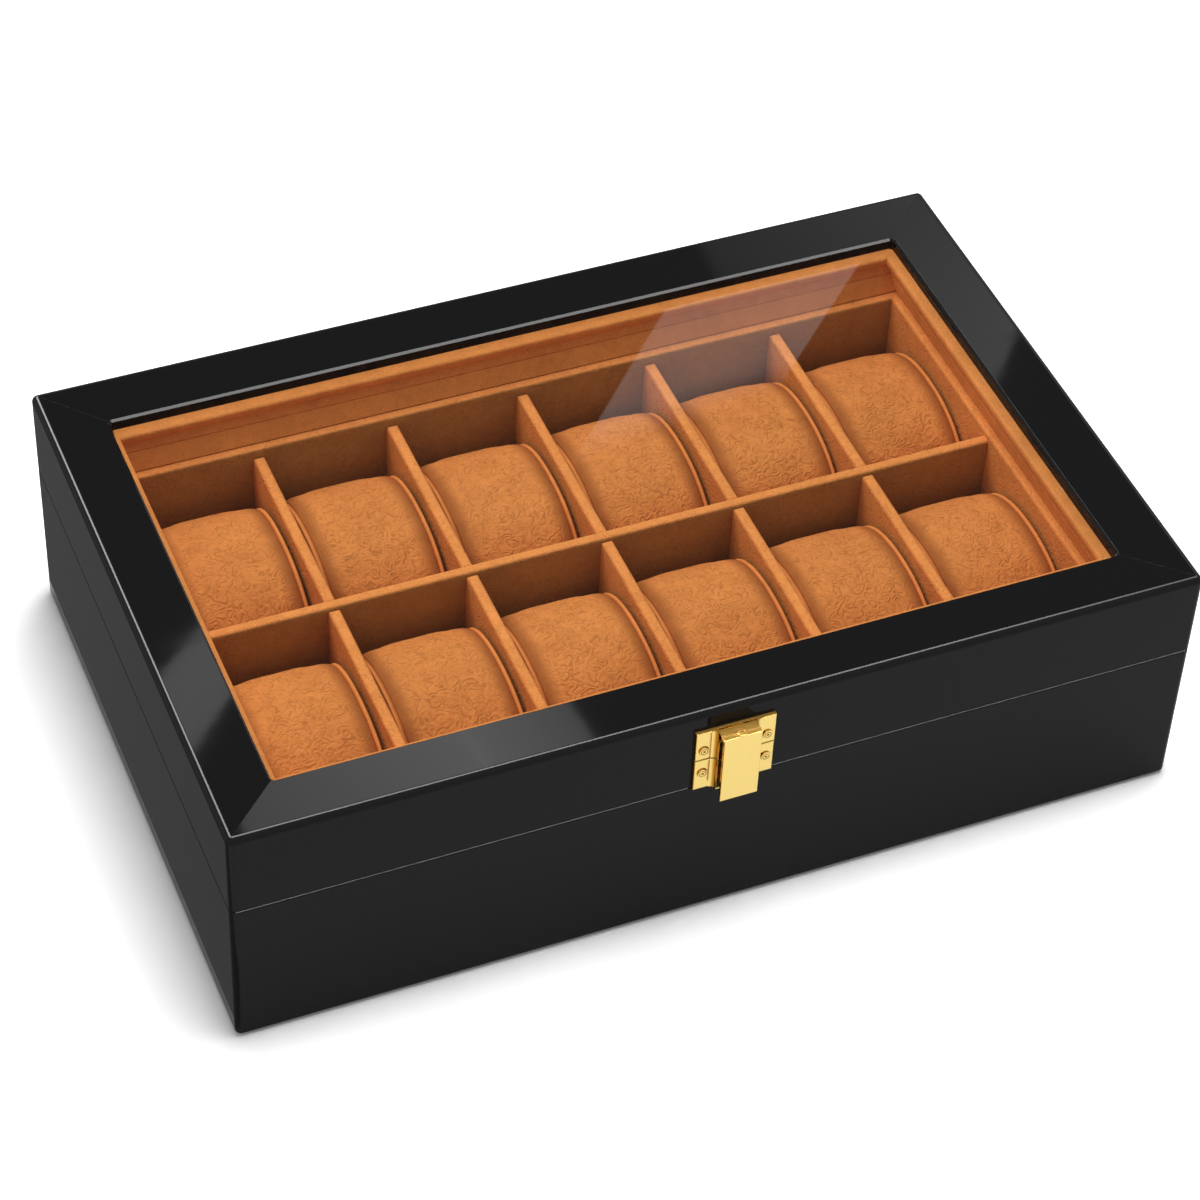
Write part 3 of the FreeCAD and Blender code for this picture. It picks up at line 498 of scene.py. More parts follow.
def make_brass():
    settings = bpy.context.scene.watch_box_brass
    material, tree, shader, place = new_material("gold_plate")
    film = use_group(tree, "dust_and_smears", Amount=0.5)
    wire(tree, place.outputs["Object"], film.inputs["Vector"])
    brushed = add_node(tree, "ShaderNodeMapping", {"Scale": (900.0, 900.0, 9000.0)})
    wire(tree, place.outputs["Object"], brushed.inputs["Vector"])
    hair = noise_node(tree, brushed.outputs[0], 1.0, 2.0, 0.6)
    tone = blend_colour(tree, ramp(tree, hair.outputs[0], 0.3, 0.7), tuple(settings.colour),
                        (0.96, 0.69, 0.21))
    # Painted shade: corners, gaps and recesses are darkened where ambient occlusion is low.
    corners = add_node(tree, "ShaderNodeAmbientOcclusion", {"Distance": 0.0006}, samples=6)
    tone = blend_colour(tree, ramp(tree, corners.outputs["AO"], 0.3, 0.85, 1.0, 0.0), tone,
                        (0.24, 0.095, 0.012))
    facing = add_node(tree, "ShaderNodeSeparateXYZ")
    wire(tree, place.outputs["Normal"], facing.inputs[0])
    # Painted shade: faces that look up are a darker, duller brown.
    upward = ramp(tree, facing.outputs[2], 0.8, 0.98)
    tone = blend_colour(tree, upward, tone, (0.62, 0.35, 0.07))
    # Painted shade: faces that look left are a darker amber.
    leftward = ramp(tree, facing.outputs[0], -0.75, -0.25, 1.0, 0.0)
    tone = blend_colour(tree, leftward, tone, (0.56, 0.235, 0.012))
    wire(tree, tone, shader.inputs["Base Color"])
    rough = maths(tree, "MULTIPLY_ADD", hair.outputs[0], 0.06, settings.gloss - 0.03)
    rough = maths(tree, "MULTIPLY_ADD", film.outputs["Smear"], 0.08, rough)
    wire(tree, rough, shader.inputs["Roughness"])
    # Painted shade: faces that look up are also made less metallic.
    wire(tree, maths(tree, "MULTIPLY_ADD", upward, -0.6, 1.0), shader.inputs["Metallic"])
    eased = add_node(tree, "ShaderNodeBevel", {"Radius": 0.00018}, samples=4)
    bump(tree, shader, [(hair.outputs[0], 0.000004, 0.3)], eased.outputs[0])
    return material


def make_glass():
    material, tree, shader, place = new_material("clear_glass")
    film = use_group(tree, "dust_and_smears", Amount=0.15)
    wire(tree, place.outputs["Object"], film.inputs["Vector"])
    wire(tree, maths(tree, "MULTIPLY", film.outputs["Smear"], 0.01), shader.inputs["Roughness"])
    set_sockets(shader, {"Base Color": (1.0, 1.0, 1.0, 1.0), "Transmission Weight": 1.0,
                         "IOR": 1.45})
    clear = add_node(tree, "ShaderNodeBsdfTransparent", {"Color": (0.96, 0.97, 0.965, 1.0)})
    path = tree.nodes.new("ShaderNodeLightPath")
    both = tree.nodes.new("ShaderNodeMixShader")
    through = maths(tree, "MAXIMUM", path.outputs["Is Shadow Ray"], path.outputs["Is Diffuse Ray"])
    wire(tree, through, both.inputs[0])
    wire(tree, shader.outputs[0], both.inputs[1])
    wire(tree, clear.outputs[0], both.inputs[2])
    out = next(n for n in tree.nodes if n.type == "OUTPUT_MATERIAL")
    wire(tree, both.outputs[0], out.inputs["Surface"])
    return material


def make_felt():
    material, tree, shader, place = new_material("black_felt")
    fibres = noise_node(tree, place.outputs["Object"], 2600.0, 3.0, 0.7, 1.5)
    clumps = noise_node(tree, place.outputs["Object"], 300.0, 2.0)
    tone = maths(tree, "MULTIPLY", fibres.outputs[0], clumps.outputs[0])
    wire(tree, blend_colour(tree, tone, (0.012, 0.012, 0.012), (0.05, 0.05, 0.05)),
         shader.inputs["Base Color"])
    set_sockets(shader, {"Roughness": 0.97, "Sheen Weight": 0.2})
    bump(tree, shader, [(fibres.outputs[0], 0.0002, 0.7)])
    return material


def make_board():
    material, tree, shader, place = new_material("fibre_board")
    flecks = noise_node(tree, place.outputs["Object"], 700.0, 4.0, 0.7, 0.8)
    wire(tree, blend_colour(tree, ramp(tree, flecks.outputs[0], 0.35, 0.7), (0.12, 0.075, 0.04),
                            (0.22, 0.145, 0.085)), shader.inputs["Base Color"])
    set_sockets(shader, {"Roughness": 0.85})
    bump(tree, shader, [(flecks.outputs[0], 0.0001, 0.5)])
    return material


def dress(names, material):
    for name in names:
        slots = NODES[name].data.materials
        slots.clear()
        slots.append(material)


# Cushions
CUSHION_RINGS = [
    (0.0, 0.00), (2.0, 0.01), (4.0, 0.03), (6.0, 0.05), (8.0, 0.07), (10.0, 0.11),
    (12.0, 0.16), (14.0, 0.23), (15.6, 0.33), (16.9, 0.50), (17.9, 0.75), (18.6, 1.15),
    (19.0, 1.62),
]
END_RINGS = [
    (20.72, 2.2), (20.62, 3.2), (20.66, 5.0), (20.72, 8.0), (20.78, 11.5), (20.82, 15.0),
    (20.86, 19.0), (20.88, 22.5),
]


def cushion_stations(piping):
    """Rings of one half: distance from the middle, inset, and whether cloth may move it."""
    rings = [(x, inset, x < 17.0) for x, inset in CUSHION_RINGS]
    steps = 9
    centre_x = 19.8
    centre_inset = 1.70
    for i in range(steps):
        angle = math.radians(205 - i * 230 / (steps - 1))
        x = centre_x + piping * math.cos(angle)
        inset = centre_inset - piping * math.sin(angle)
        rings.append((x, inset, False))
    rings += [(x, inset, False) for x, inset in END_RINGS]
    return rings


def build_cushion(settings, half_depth, half_height):
    """Cushion round the origin: a ring at its middle, extruded and drawn in ring by ring to one
    end, closed there, and mirrored."""
    stations = cushion_stations(settings.piping_radius / MM)
    clear_selection()
    bpy.ops.mesh.primitive_circle_add(vertices=settings.segments, radius=half_height,
                                      fill_type="NOTHING", rotation=(0, math.pi / 2, 0))
    o = bpy.context.active_object
    o.name = "cushion_blank"
    bpy.ops.object.transform_apply(location=False, rotation=True, scale=False)
    power = 2.0 / 2.15
    for v in o.data.vertices:
        c = v.co.y / half_height
        s = v.co.z / half_height
        v.co = (0, half_depth * math.copysign(abs(c) ** power, c),
                half_height * math.copysign(abs(s) ** power, s))
    bpy.ops.object.mode_set(mode="EDIT")
    bpy.ops.mesh.select_all(action="SELECT")
    for (x0, inset0, _), (x1, inset1, _) in zip(stations, stations[1:]):
        bpy.ops.mesh.extrude_region_move(
            TRANSFORM_OT_translate={"value": ((x1 - x0) * MM, 0, 0), "orient_type": "GLOBAL"})
        narrower = (half_depth - inset1 * MM) / (half_depth - inset0 * MM)
        lower = (half_height - inset1 * MM) / (half_height - inset0 * MM)
        bpy.ops.transform.resize(value=(1, narrower, lower), orient_type="GLOBAL",
                                 center_override=(x1 * MM, 0, 0))
    bpy.ops.mesh.extrude_region_move(TRANSFORM_OT_translate={"value": (0, 0, 0)})
    bpy.ops.mesh.merge(type="CENTER")
    bpy.ops.object.mode_set(mode="OBJECT")
    mirror = o.modifiers.new("other_half", "MIRROR")
    mirror.merge_threshold = 0.00001
    apply_modifier(o, mirror)
    bpy.ops.object.mode_set(mode="EDIT")
    bpy.ops.mesh.select_all(action="SELECT")
    bpy.ops.mesh.normals_make_consistent(inside=False)
    bpy.ops.object.mode_set(mode="OBJECT")
    return o


def fill_cushion(o, settings):
    """Blows the wrap up between its seams with Cloth, and applies the result."""
    start = [v.co.copy() for v in o.data.vertices]
    held = o.vertex_groups.new(name="held")
    for v in o.data.vertices:
        x = abs(v.co.x) / MM
        held.add([v.index], ease((x - 12.0) / 5.5), "REPLACE")
    cloth = o.modifiers.new("fill", "CLOTH")
    cloth.settings.quality = 6
    cloth.settings.mass = 0.05
    cloth.settings.tension_stiffness = 12.0
    cloth.settings.compression_stiffness = 12.0
    cloth.settings.shear_stiffness = 4.0
    cloth.settings.bending_stiffness = 0.05
    cloth.settings.shrink_min = -settings.slack
    cloth.settings.vertex_group_mass = "held"
    cloth.settings.use_pressure = True
    cloth.settings.uniform_pressure_force = settings.pressure
    cloth.settings.effector_weights.gravity = 0.0
    cloth.point_cache.frame_start = 1
    cloth.point_cache.frame_end = 20
    for number in range(1, 21):
        bpy.context.scene.frame_set(number)
    apply_modifier(o, cloth)
    bpy.context.scene.frame_set(1)
    cap = 1.1 * MM
    for v, rest in zip(o.data.vertices, start):
        move = v.co - rest
        if move.length > cap:
            v.co = rest + move * (cap / move.length)


def finish_cushion(o, half_height):
    """Gathers along the seams, a flat underside and one subdivision."""
    for v in o.data.vertices:
        x = abs(v.co.x) / MM
        near = ease((x - 12.5) / 5.0) * (1 - ease((x - 18.2) / 0.5))
        if near > 0:
            angle = math.atan2(v.co.z, v.co.y)
            side = 1 if v.co.x > 0 else -1
            wave = math.sin(angle * 31 + side * 1.3 + 2.2 * math.sin(angle * 5 + side))
            radial = Vector((0, v.co.y, v.co.z)).normalized()
            v.co += radial * (wave * near * 0.07 * MM)
    subdivision = o.modifiers.new("fine", "SUBSURF")
    subdivision.levels = 1
    subdivision.render_levels = 1
    apply_modifier(o, subdivision)
    floor = -half_height + 0.45 * MM
    for v in o.data.vertices:
        if v.co.z < floor:
            v.co.z = floor + (v.co.z - floor) * 0.35
    smooth(o)


def place_cushion(blank, node, number):
    """Copy of the blank with dents of its own, at the place of its CAD node."""
    low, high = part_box(node)
    centre = (low + high) / 2
    mesh = blank.data.copy()
    mesh.name = "cushion_" + node[7:]
    seed = Vector((number * 7.13, number * 3.71, number * 1.93))
    crease = mesh.attributes.new("crease", "FLOAT", "POINT")
    values = []
    ends = []
    for v in mesh.vertices:
        local = v.co.copy()
        inside = 1 - ease((abs(local.x) / MM - 15.5) / 2.5)
        radial = Vector((0.0, local.y, local.z))
        if radial.length > 0.004:
            radial.normalize()
            dent = noise.noise(local * 30 + seed) * 0.08
            v.co += radial * (dent * inside * MM)
        values.append(ease((19.0 - abs(local.x) / MM) / 7.0))
        ends.append(abs(local.x) / MM)
        v.co += centre
    crease.data.foreach_set("value", values)
    mesh.attributes.new("to_end", "FLOAT", "POINT").data.foreach_set("value", ends)
    o = new_piece("cushion_" + node[7:], mesh)
    return o


class WATCHBOX_OT_cushions(bpy.types.Operator):
    """Makes one cushion with piped ends, fills it, and copies it into the twelve cells"""

    bl_idname = "watch_box.cushions"
    bl_label = "Cushions"
    bl_options = {"REGISTER", "UNDO"}

    def execute(self, context):
        settings = context.scene.watch_box_cushion
        low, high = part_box(CUSHIONS[0])
        half_depth = (high.y - low.y) / 2
        half_height = (high.z - low.z) / 2
        blank = build_cushion(settings, half_depth, half_height)
        fill_cushion(blank, settings)
        finish_cushion(blank, half_height)
        suede = make_suede("cushion_suede", 1.0, 0.56, 0.0, True)
        for number, node in enumerate(CUSHIONS, 1):
            o = place_cushion(blank, node, number)
            o.data.materials.append(suede)
            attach(o, node)
            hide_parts(node)
        bpy.data.objects.remove(blank)
        return {"FINISHED"}


class WATCHBOX_OT_floor_pad(bpy.types.Operator):
    """Makes the thin padded floor of the tray, crowned a little in each cell"""

    bl_idname = "watch_box.floor_pad"
    bl_label = "Tray floor"
    bl_options = {"REGISTER", "UNDO"}

    def execute(self, context):
        low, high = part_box("tray_floor_pad")
        size = high - low
        clear_selection()
        bpy.ops.mesh.primitive_cube_add(size=1, location=(low + high) / 2)
        o = context.active_object
        o.name = "tray_floor_suede"
        o.scale = size
        bpy.ops.object.transform_apply(location=True, rotation=False, scale=True)
        pitch = 47.8 * MM
        half = 2.0 * MM
        cuts = []
        for n in range(1, 6):
            for side in (-half, half):
                cuts.append(((n - 3) * pitch + side, 0))
        bpy.ops.object.mode_set(mode="EDIT")
        for x, _ in cuts:
            bpy.ops.mesh.select_all(action="SELECT")
            bpy.ops.mesh.bisect(plane_co=(x, 0, 0), plane_no=(1, 0, 0))
        for y in (-half, half):
            bpy.ops.mesh.select_all(action="SELECT")
            bpy.ops.mesh.bisect(plane_co=(0, y, 0), plane_no=(0, 1, 0))
        bpy.ops.mesh.select_all(action="SELECT")
        bpy.ops.mesh.subdivide(number_cuts=5)
        bpy.ops.object.mode_set(mode="OBJECT")
        for v in o.data.vertices:
            if v.co.z < high.z - 1e-5:
                continue
            column = (v.co.x / pitch) % 1.0
            across = max(0.0, 1 - ((column - 0.5) / 0.457) ** 2)
            depth = (abs(v.co.y) - 39.0 * MM) / (37.0 * MM)
            along = max(0.0, 1 - depth * depth)
            v.co.z += 0.22 * MM * ease(across * 2) * ease(along * 2)
        smooth(o)
        o.data.materials.append(bpy.data.materials["board_suede"])
        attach(o, "base")
        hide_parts("tray_floor_pad")
        return {"FINISHED"}


def make_bar(name, profile, low, high, axis):
    """Bar between two places on an axis, from a ring of points in millimetres: (Y, Z) for a bar
    along X, (X, Y) for one along Z."""
    def at(point, place):
        a, b = point
        return Vector((place, a, b) if axis == "X" else (a, b, place)) * MM

    clear_selection()
    bpy.ops.mesh.primitive_circle_add(vertices=len(profile), radius=0.01, fill_type="NGON")
    o = bpy.context.active_object
    o.name = name
    for v, point in zip(o.data.vertices, profile):
        v.co = at(point, low)
    bpy.ops.object.mode_set(mode="EDIT")
    bpy.ops.mesh.select_all(action="SELECT")
    bpy.ops.mesh.extrude_region_move(TRANSFORM_OT_translate={
        "value": at((0, 0), high - low), "orient_type": "GLOBAL"})
    bpy.ops.mesh.select_all(action="SELECT")
    bpy.ops.mesh.normals_make_consistent(inside=False)
    bpy.ops.object.mode_set(mode="OBJECT")
    return o


def ease_edges(o, on_edge, radius):
    """Rounds the edges whose two ends pass a test of their place, in millimetres."""
    bpy.context.tool_settings.mesh_select_mode = (False, True, False)
    bpy.ops.object.mode_set(mode="EDIT")
    bpy.ops.mesh.select_all(action="DESELECT")
    bpy.ops.object.mode_set(mode="OBJECT")
    picked = [on_edge(v.co / MM) for v in o.data.vertices]
    for edge in o.data.edges:
        edge.select = all(picked[index] for index in edge.vertices)
    bpy.ops.object.mode_set(mode="EDIT")
    bpy.ops.mesh.bevel(offset=radius * MM, segments=4, affect="EDGES")
    bpy.ops.object.mode_set(mode="OBJECT")


def make_block(x0, x1, y0, y1, z0, z1):
    """Plain block in millimetres, to be joined to a piece or cut out of one."""
    clear_selection()
    bpy.ops.mesh.primitive_cube_add(size=1, location=(
        (x0 + x1) / 2 * MM, (y0 + y1) / 2 * MM, (z0 + z1) / 2 * MM))
    o = bpy.context.active_object
    o.scale = ((x1 - x0) * MM, (y1 - y0) * MM, (z1 - z0) * MM)
    bpy.ops.object.transform_apply(location=True, rotation=False, scale=True)
    return o


def make_barrel(x0, x1, y, z, radius):
    """Round bar along X in millimetres."""
    clear_selection()
    bpy.ops.mesh.primitive_cylinder_add(
        vertices=40, radius=radius * MM, depth=(x1 - x0) * MM, rotation=(0, math.pi / 2, 0),
        location=((x0 + x1) / 2 * MM, y * MM, z * MM))
    bpy.ops.object.transform_apply(location=True, rotation=True, scale=False)
    return bpy.context.active_object


def combine(o, others, operation):
    """Joins helper shapes to a piece or cuts them out of it, and clears them away."""
    for other in others:
        step = o.modifiers.new("step", "BOOLEAN")
        step.operation = operation
        step.solver = "EXACT"
        step.object = other
        apply_modifier(o, step)
        bpy.data.objects.remove(other)


def cut_away(o, cutters):
    """Takes the shapes of other pieces out of a piece."""
    for cutter in cutters:
        cut = o.modifiers.new("cut", "BOOLEAN")
        cut.operation = "DIFFERENCE"
        cut.solver = "EXACT"
        cut.object = cutter
        apply_modifier(o, cut)


def finish_piece(o, node, body, material):
    only(o)
    bpy.ops.object.mode_set(mode="EDIT")
    bpy.ops.mesh.select_all(action="SELECT")
    bpy.ops.mesh.remove_doubles(threshold=0.000003)
    bpy.ops.mesh.dissolve_degenerate(threshold=0.000001)
    bpy.ops.object.mode_set(mode="OBJECT")
    bpy.ops.object.shade_smooth_by_angle(angle=math.radians(35))
    even = o.modifiers.new("even", "WEIGHTED_NORMAL")
    even.keep_sharp = True
    apply_modifier(o, even)
    o.data.materials.clear()
    o.data.materials.append(bpy.data.materials[material])
    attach(o, body)
    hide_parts(node)


class WATCHBOX_OT_linings(bpy.types.Operator):
    """Makes the front lining with its fuller nose, and the back lining that reaches the rim"""

    bl_idname = "watch_box.linings"
    bl_label = "Linings"
    bl_options = {"REGISTER", "UNDO"}

    def execute(self, context):
        low, high = (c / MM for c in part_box("lid_lining_upper_front"))
        wall, top, seam = low.y, high.z, low.z
        front = make_bar("lid_lining_front_nose", [
            (wall, top), (wall, seam), (-78.1, seam), (-80.4, top - 3.4), (-79.9, top - 2.9),
            (-79.9, top)], low.x + 0.02, high.x - 0.02, "X")
        ease_edges(front, lambda co: co.y > -80 and co.z > top - 3, 1.2)
        cut_away(front, [NODES["lid_lining_upper_left"], NODES["lid_lining_upper_right"]])
        finish_piece(front, "lid_lining_upper_front", "lid", "upper_lining_suede")
        low, high = (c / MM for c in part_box("lid_lining_lower_back"))
        wall, top, foot, skirt = high.y, high.z, low.z, 81.0
        rim = 70.35
        back = make_bar("lid_lining_back_foot", [
            (wall, top), (81.8, top), (78.8, rim), (skirt, rim), (skirt, foot), (wall, foot)],
            low.x + 0.02, high.x - 0.02, "X")
        ease_edges(back, lambda co: co.y < 79, 0.5)
        cut_away(back, [NODES["lid_lining_lower_left"], NODES["lid_lining_lower_right"]])
        finish_piece(back, "lid_lining_lower_back", "lid", "lower_lining_suede")
        return {"FINISHED"}


class WATCHBOX_OT_latch(bpy.types.Operator):
    """Makes the lever with its flat crisp top, and the upper plate that makes room for it"""

    bl_idname = "watch_box.latch"
    bl_label = "Latch"
    bl_options = {"REGISTER", "UNDO"}

    def execute(self, context):
        low, high = (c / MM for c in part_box("latch_lever"))
        front, foot, top, half = low.y, low.z, high.z, high.x
        pin_low, pin_high = (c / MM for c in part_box("latch_pin"))
        axis_y, axis_z = (pin_low.y + pin_high.y) / 2, (pin_low.z + pin_high.z) / 2
        back = axis_y + 1.7
        lever = make_bar("latch_lever_block", [
            (back, top), (front, top), (front, foot), (front + 1.0, foot),
            (front + 1.0, top - 1.0), (front + 1.9, top - 1.0), (front + 1.9, top - 0.25),
            (back, top - 0.25)], -half, half, "X")
        ease_edges(lever, lambda co: co.y < front + 0.01, 0.28)
        combine(lever, [make_barrel(-4.2, 4.2, axis_y, axis_z, 1.5),
                        make_block(-3.2, 3.2, front + 0.9, front + 3.85, foot, foot + 0.9)],
                "UNION")
        combine(lever, [make_barrel(-5.0, 5.0, axis_y, axis_z, 0.66)], "DIFFERENCE")
        finish_piece(lever, "latch_lever", "latch_lever", "gold_plate")

        low, high = (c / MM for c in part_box("latch_plate_upper"))
        foot, top, half, wall = low.z, high.z, high.x, high.y
        face = wall - 1.5
        raised, height, flank = 6.55, 1.9, 6
        plate = make_bar("latch_plate_flanked", [
            (half, face), (-half, face), (-half, wall), (half, wall)], foot, top, "Z")
        ease_edges(plate, lambda co: co.y < face + 0.01, 0.3)
        left = []
        for i in range(flank + 1):
            t = math.pi / 2 * (1 - i / flank)
            left.append((-raised - height + height * math.cos(t),
                         face - height + height * math.sin(t)))
        right = [(-x, y) for x, y in reversed(left)]
        root = [(raised + height, face + 0.6), (-raised - height, face + 0.6)]
        combine(plate, [make_bar("raised_middle", left + right + root, foot, top, "Z")], "UNION")
        combine(plate, [make_block(-6.65, 6.65, face - 4, face, top - 3.7, top + 1),
                        make_block(-6.65, 6.65, face - 4, face + 0.65, top - 3.4, top + 1)],
                "DIFFERENCE")
        ear = [(face + 0.9, axis_z + 0.1), (face + 0.9, axis_z - 1.3)]
        for step in range(21):
            t = math.radians(270 - 13.28 * step)
            ear.append((axis_y + 1.3 * math.cos(t), axis_z + 1.3 * math.sin(t)))
        for x0, x1 in ((-6.3, -4.35), (4.35, 6.3)):
            combine(plate, [make_bar("ear", ear, x0, x1, "X")], "UNION")
        finish_piece(plate, "latch_plate_upper", "lid", "gold_plate")
        return {"FINISHED"}


class WATCHBOX_OT_finishes(bpy.types.Operator):
    """Gives the rigid pieces their lacquer, suede, gold, glass, felt and board"""

    bl_idname = "watch_box.finishes"
    bl_label = "Finishes"
    bl_options = {"REGISTER", "UNDO"}

    def execute(self, context):
        make_crease_group()
        make_nap_group()
        make_dust_group()
        # Front tints are painted shade on faces that look to the front; the fourth numbers set the
        # painted highlight on faces that look up.
        board_suede = make_suede("board_suede", 0.7, 0.46, 0.55, False, front=(0.56, 0.76, 0.86))
        upper_suede = make_suede("upper_lining_suede", 0.5, 0.40, 0.3, False,
                                 front=(0.90, 0.88, 0.88))
        lower_suede = make_suede("lower_lining_suede", 0.5, 0.40, 0.3, False, (1.0, 1.03, 1.0),
                                 front=(0.92, 0.92, 0.92))
        dress(LACQUERED, make_lacquer())
        dress(DIVIDERS + LINERS, board_suede)
        dress(UPPER_LININGS, upper_suede)
        dress(LOWER_LININGS, lower_suede)
        dress(BRASS, make_brass())
        dress(["lid_glass"], make_glass())
        dress(["base_felt_sheet"], make_felt())
        dress(["base_bottom_board"], make_board())
        return {"FINISHED"}


# Stage
CAMERA_AZIMUTH = -24.08
CAMERA_ELEVATION = 44.63
CAMERA_ROLL = 2.94
CAMERA_DISTANCE = 1.26604
CAMERA_RIGHT = -0.00046
CAMERA_UP = 0.02749
CAMERA_LENS = 3661.72 / 1200 * 36


def make_camera():
    a = math.radians(CAMERA_AZIMUTH)
    e = math.radians(CAMERA_ELEVATION)
    back = Vector((math.sin(a) * math.cos(e), -math.cos(a) * math.cos(e), math.sin(e)))
    right = (-back).cross(Vector((0, 0, 1))).normalized()
    up = right.cross(-back)
    place = back * CAMERA_DISTANCE + right * CAMERA_RIGHT + up * CAMERA_UP
    r = math.radians(CAMERA_ROLL)
    turned_right = right * math.cos(r) + up * math.sin(r)
    turned_up = up * math.cos(r) - right * math.sin(r)
    data = bpy.data.cameras.new("photo_camera")
    data.sensor_width = 36.0
    data.lens = CAMERA_LENS
    data.clip_start = 0.01
    data.clip_end = 100.0
    camera = new_piece("photo_camera", data)
    turn = Matrix((turned_right, turned_up, back)).transposed().to_4x4()
    camera.matrix_world = Matrix.Translation(place) @ turn
    bpy.context.scene.camera = camera


def make_floor(settings):
    """White paper floor: by eye at full white but darker close to the foot of the box, where a
    shadow is painted; in mirrors nearly so, and plain as a bounce."""
    clear_selection()
    bpy.ops.mesh.primitive_plane_add(size=24, location=(0, 0, -0.0001))
    floor = bpy.context.active_object
    floor.name = "studio_floor"
    material, tree, shader, place = new_material("floor_paper")
    path = tree.nodes.new("ShaderNodeLightPath")
    direct = maths(tree, "MAXIMUM", path.outputs["Is Camera Ray"],
                   path.outputs["Is Transmission Ray"])
    mirrored = tuple(c * settings.floor_mirror for c in settings.floor_colour)
    bright = tuple(c * settings.floor_white for c in settings.floor_colour)
    colour = blend_colour(tree, path.outputs["Is Glossy Ray"], tuple(settings.floor_colour),
                          mirrored)
    split = tree.nodes.new("ShaderNodeSeparateXYZ")
    wire(tree, place.outputs["Object"], split.inputs[0])
    away = []
    for axis, half in ((0, CAD_BOX[1].x), (1, CAD_BOX[1].x * 0.645)):
        out = maths(tree, "SUBTRACT", maths(tree, "ABSOLUTE", split.outputs[axis]), half)
        out = maths(tree, "MAXIMUM", out, 0.0)
        away.append(maths(tree, "MULTIPLY", out, out))
    reach = maths(tree, "SQRT", maths(tree, "ADD", away[0], away[1]))
    # Painted shadow: the floor seen directly is darkened close to the foot of the box.
    painted_shadow = maths(tree, "EXPONENT", maths(tree, "MULTIPLY", reach, -1 / 0.006))
    bright = blend_colour(tree, maths(tree, "MULTIPLY", painted_shadow, settings.foot_shadow), bright,
                          (0.0, 0.0, 0.0))
    wire(tree, blend_colour(tree, direct, colour, bright), shader.inputs["Base Color"])
    set_sockets(shader, {"Roughness": 1.0, "Specular IOR Level": 0.0})
    floor.data.materials.append(material)


def make_world(settings):
    """Even light; mirrors see a dark ceiling flag with a bright ring round it."""
    world = bpy.data.worlds.new("studio_world")
    world.use_nodes = True
    bpy.context.scene.world = world
    tree = world.node_tree
    tree.nodes.clear()
    out = tree.nodes.new("ShaderNodeOutputWorld")
    place = tree.nodes.new("ShaderNodeTexCoord")
    towards = add_node(tree, "ShaderNodeVectorMath", operation="DOT_PRODUCT")
    wire(tree, place.outputs["Generated"], towards.inputs[0])
    towards.inputs[1].default_value = Vector(FLAG_DIRECTION).normalized()
    near = towards.outputs["Value"]
    flag = ramp(tree, near, math.cos(math.radians(16)), math.cos(math.radians(12)))
    ring = maths(tree, "MULTIPLY",
                 ramp(tree, near, math.cos(math.radians(40)), math.cos(math.radians(32))),
                 ramp(tree, near, math.cos(math.radians(20)), math.cos(math.radians(15)), 1.0, 0.0))
    aside = tree.nodes.new("ShaderNodeSeparateXYZ")
    wire(tree, place.outputs["Generated"], aside.inputs[0])
    ring = maths(tree, "MULTIPLY", ring, ramp(tree, aside.outputs[0], 0.34, 0.52, 1.0, 0.06))
    ring = maths(tree, "MULTIPLY", ring, ramp(tree, aside.outputs[0], -0.36, -0.26))
    ring = maths(tree, "MULTIPLY", ring, ramp(tree, aside.outputs[2], 0.46, 0.60))
    strength = maths(tree, "MULTIPLY_ADD", ring, settings.ring, 0.8)
    strength = maths(tree, "MULTIPLY", strength, maths(tree, "SUBTRACT", 1.0, flag))
    strength = maths(tree, "ADD", strength, settings.ceiling)
    light = add_node(tree, "ShaderNodeBackground",
                     {"Color": (1, 1, 1, 1), "Strength": settings.ambient})
    seen = add_node(tree, "ShaderNodeBackground", {"Color": (1, 1, 1, 1), "Strength": 1.0})
    gloss = add_node(tree, "ShaderNodeBackground", {"Color": (1, 1, 1, 1)})
    wire(tree, strength, gloss.inputs["Strength"])
    path = tree.nodes.new("ShaderNodeLightPath")
    first = tree.nodes.new("ShaderNodeMixShader")
    second = tree.nodes.new("ShaderNodeMixShader")
    mirrored = maths(tree, "MAXIMUM", path.outputs["Is Glossy Ray"],
                     path.outputs["Is Transmission Ray"])
    wire(tree, mirrored, first.inputs[0])
    wire(tree, light.outputs[0], first.inputs[1])
    wire(tree, gloss.outputs[0], first.inputs[2])
    wire(tree, path.outputs["Is Camera Ray"], second.inputs[0])
    wire(tree, first.outputs[0], second.inputs[1])
    wire(tree, seen.outputs[0], second.inputs[2])
    wire(tree, second.outputs[0], out.inputs["Surface"])


def turn_to(light, receivers, blockers):
    """Limits a light to receivers, and its shadows to those of blockers."""
    group = bpy.data.collections.new(light.name + "_receivers")
    for o in receivers:
        group.objects.link(o)
    light.light_linking.receiver_collection = group
    if blockers:
        group = bpy.data.collections.new(light.name + "_blockers")
        for o in blockers:
            group.objects.link(o)
        light.light_linking.blocker_collection = group


def make_lamp(name, place, power):
    data = bpy.data.lights.new(name, "AREA")
    data.shape = "RECTANGLE"
    data.size = 1.2
    data.size_y = 1.0
    data.energy = power
    lamp = new_piece(name, data)
    lamp.location = place
    aim = Vector((0, 0, 0.05)) - lamp.location
    lamp.rotation_mode = "QUATERNION"
    lamp.rotation_quaternion = aim.to_track_quat("-Z", "Y")
    lamp.visible_glossy = False
    lamp.visible_transmission = False
    return lamp


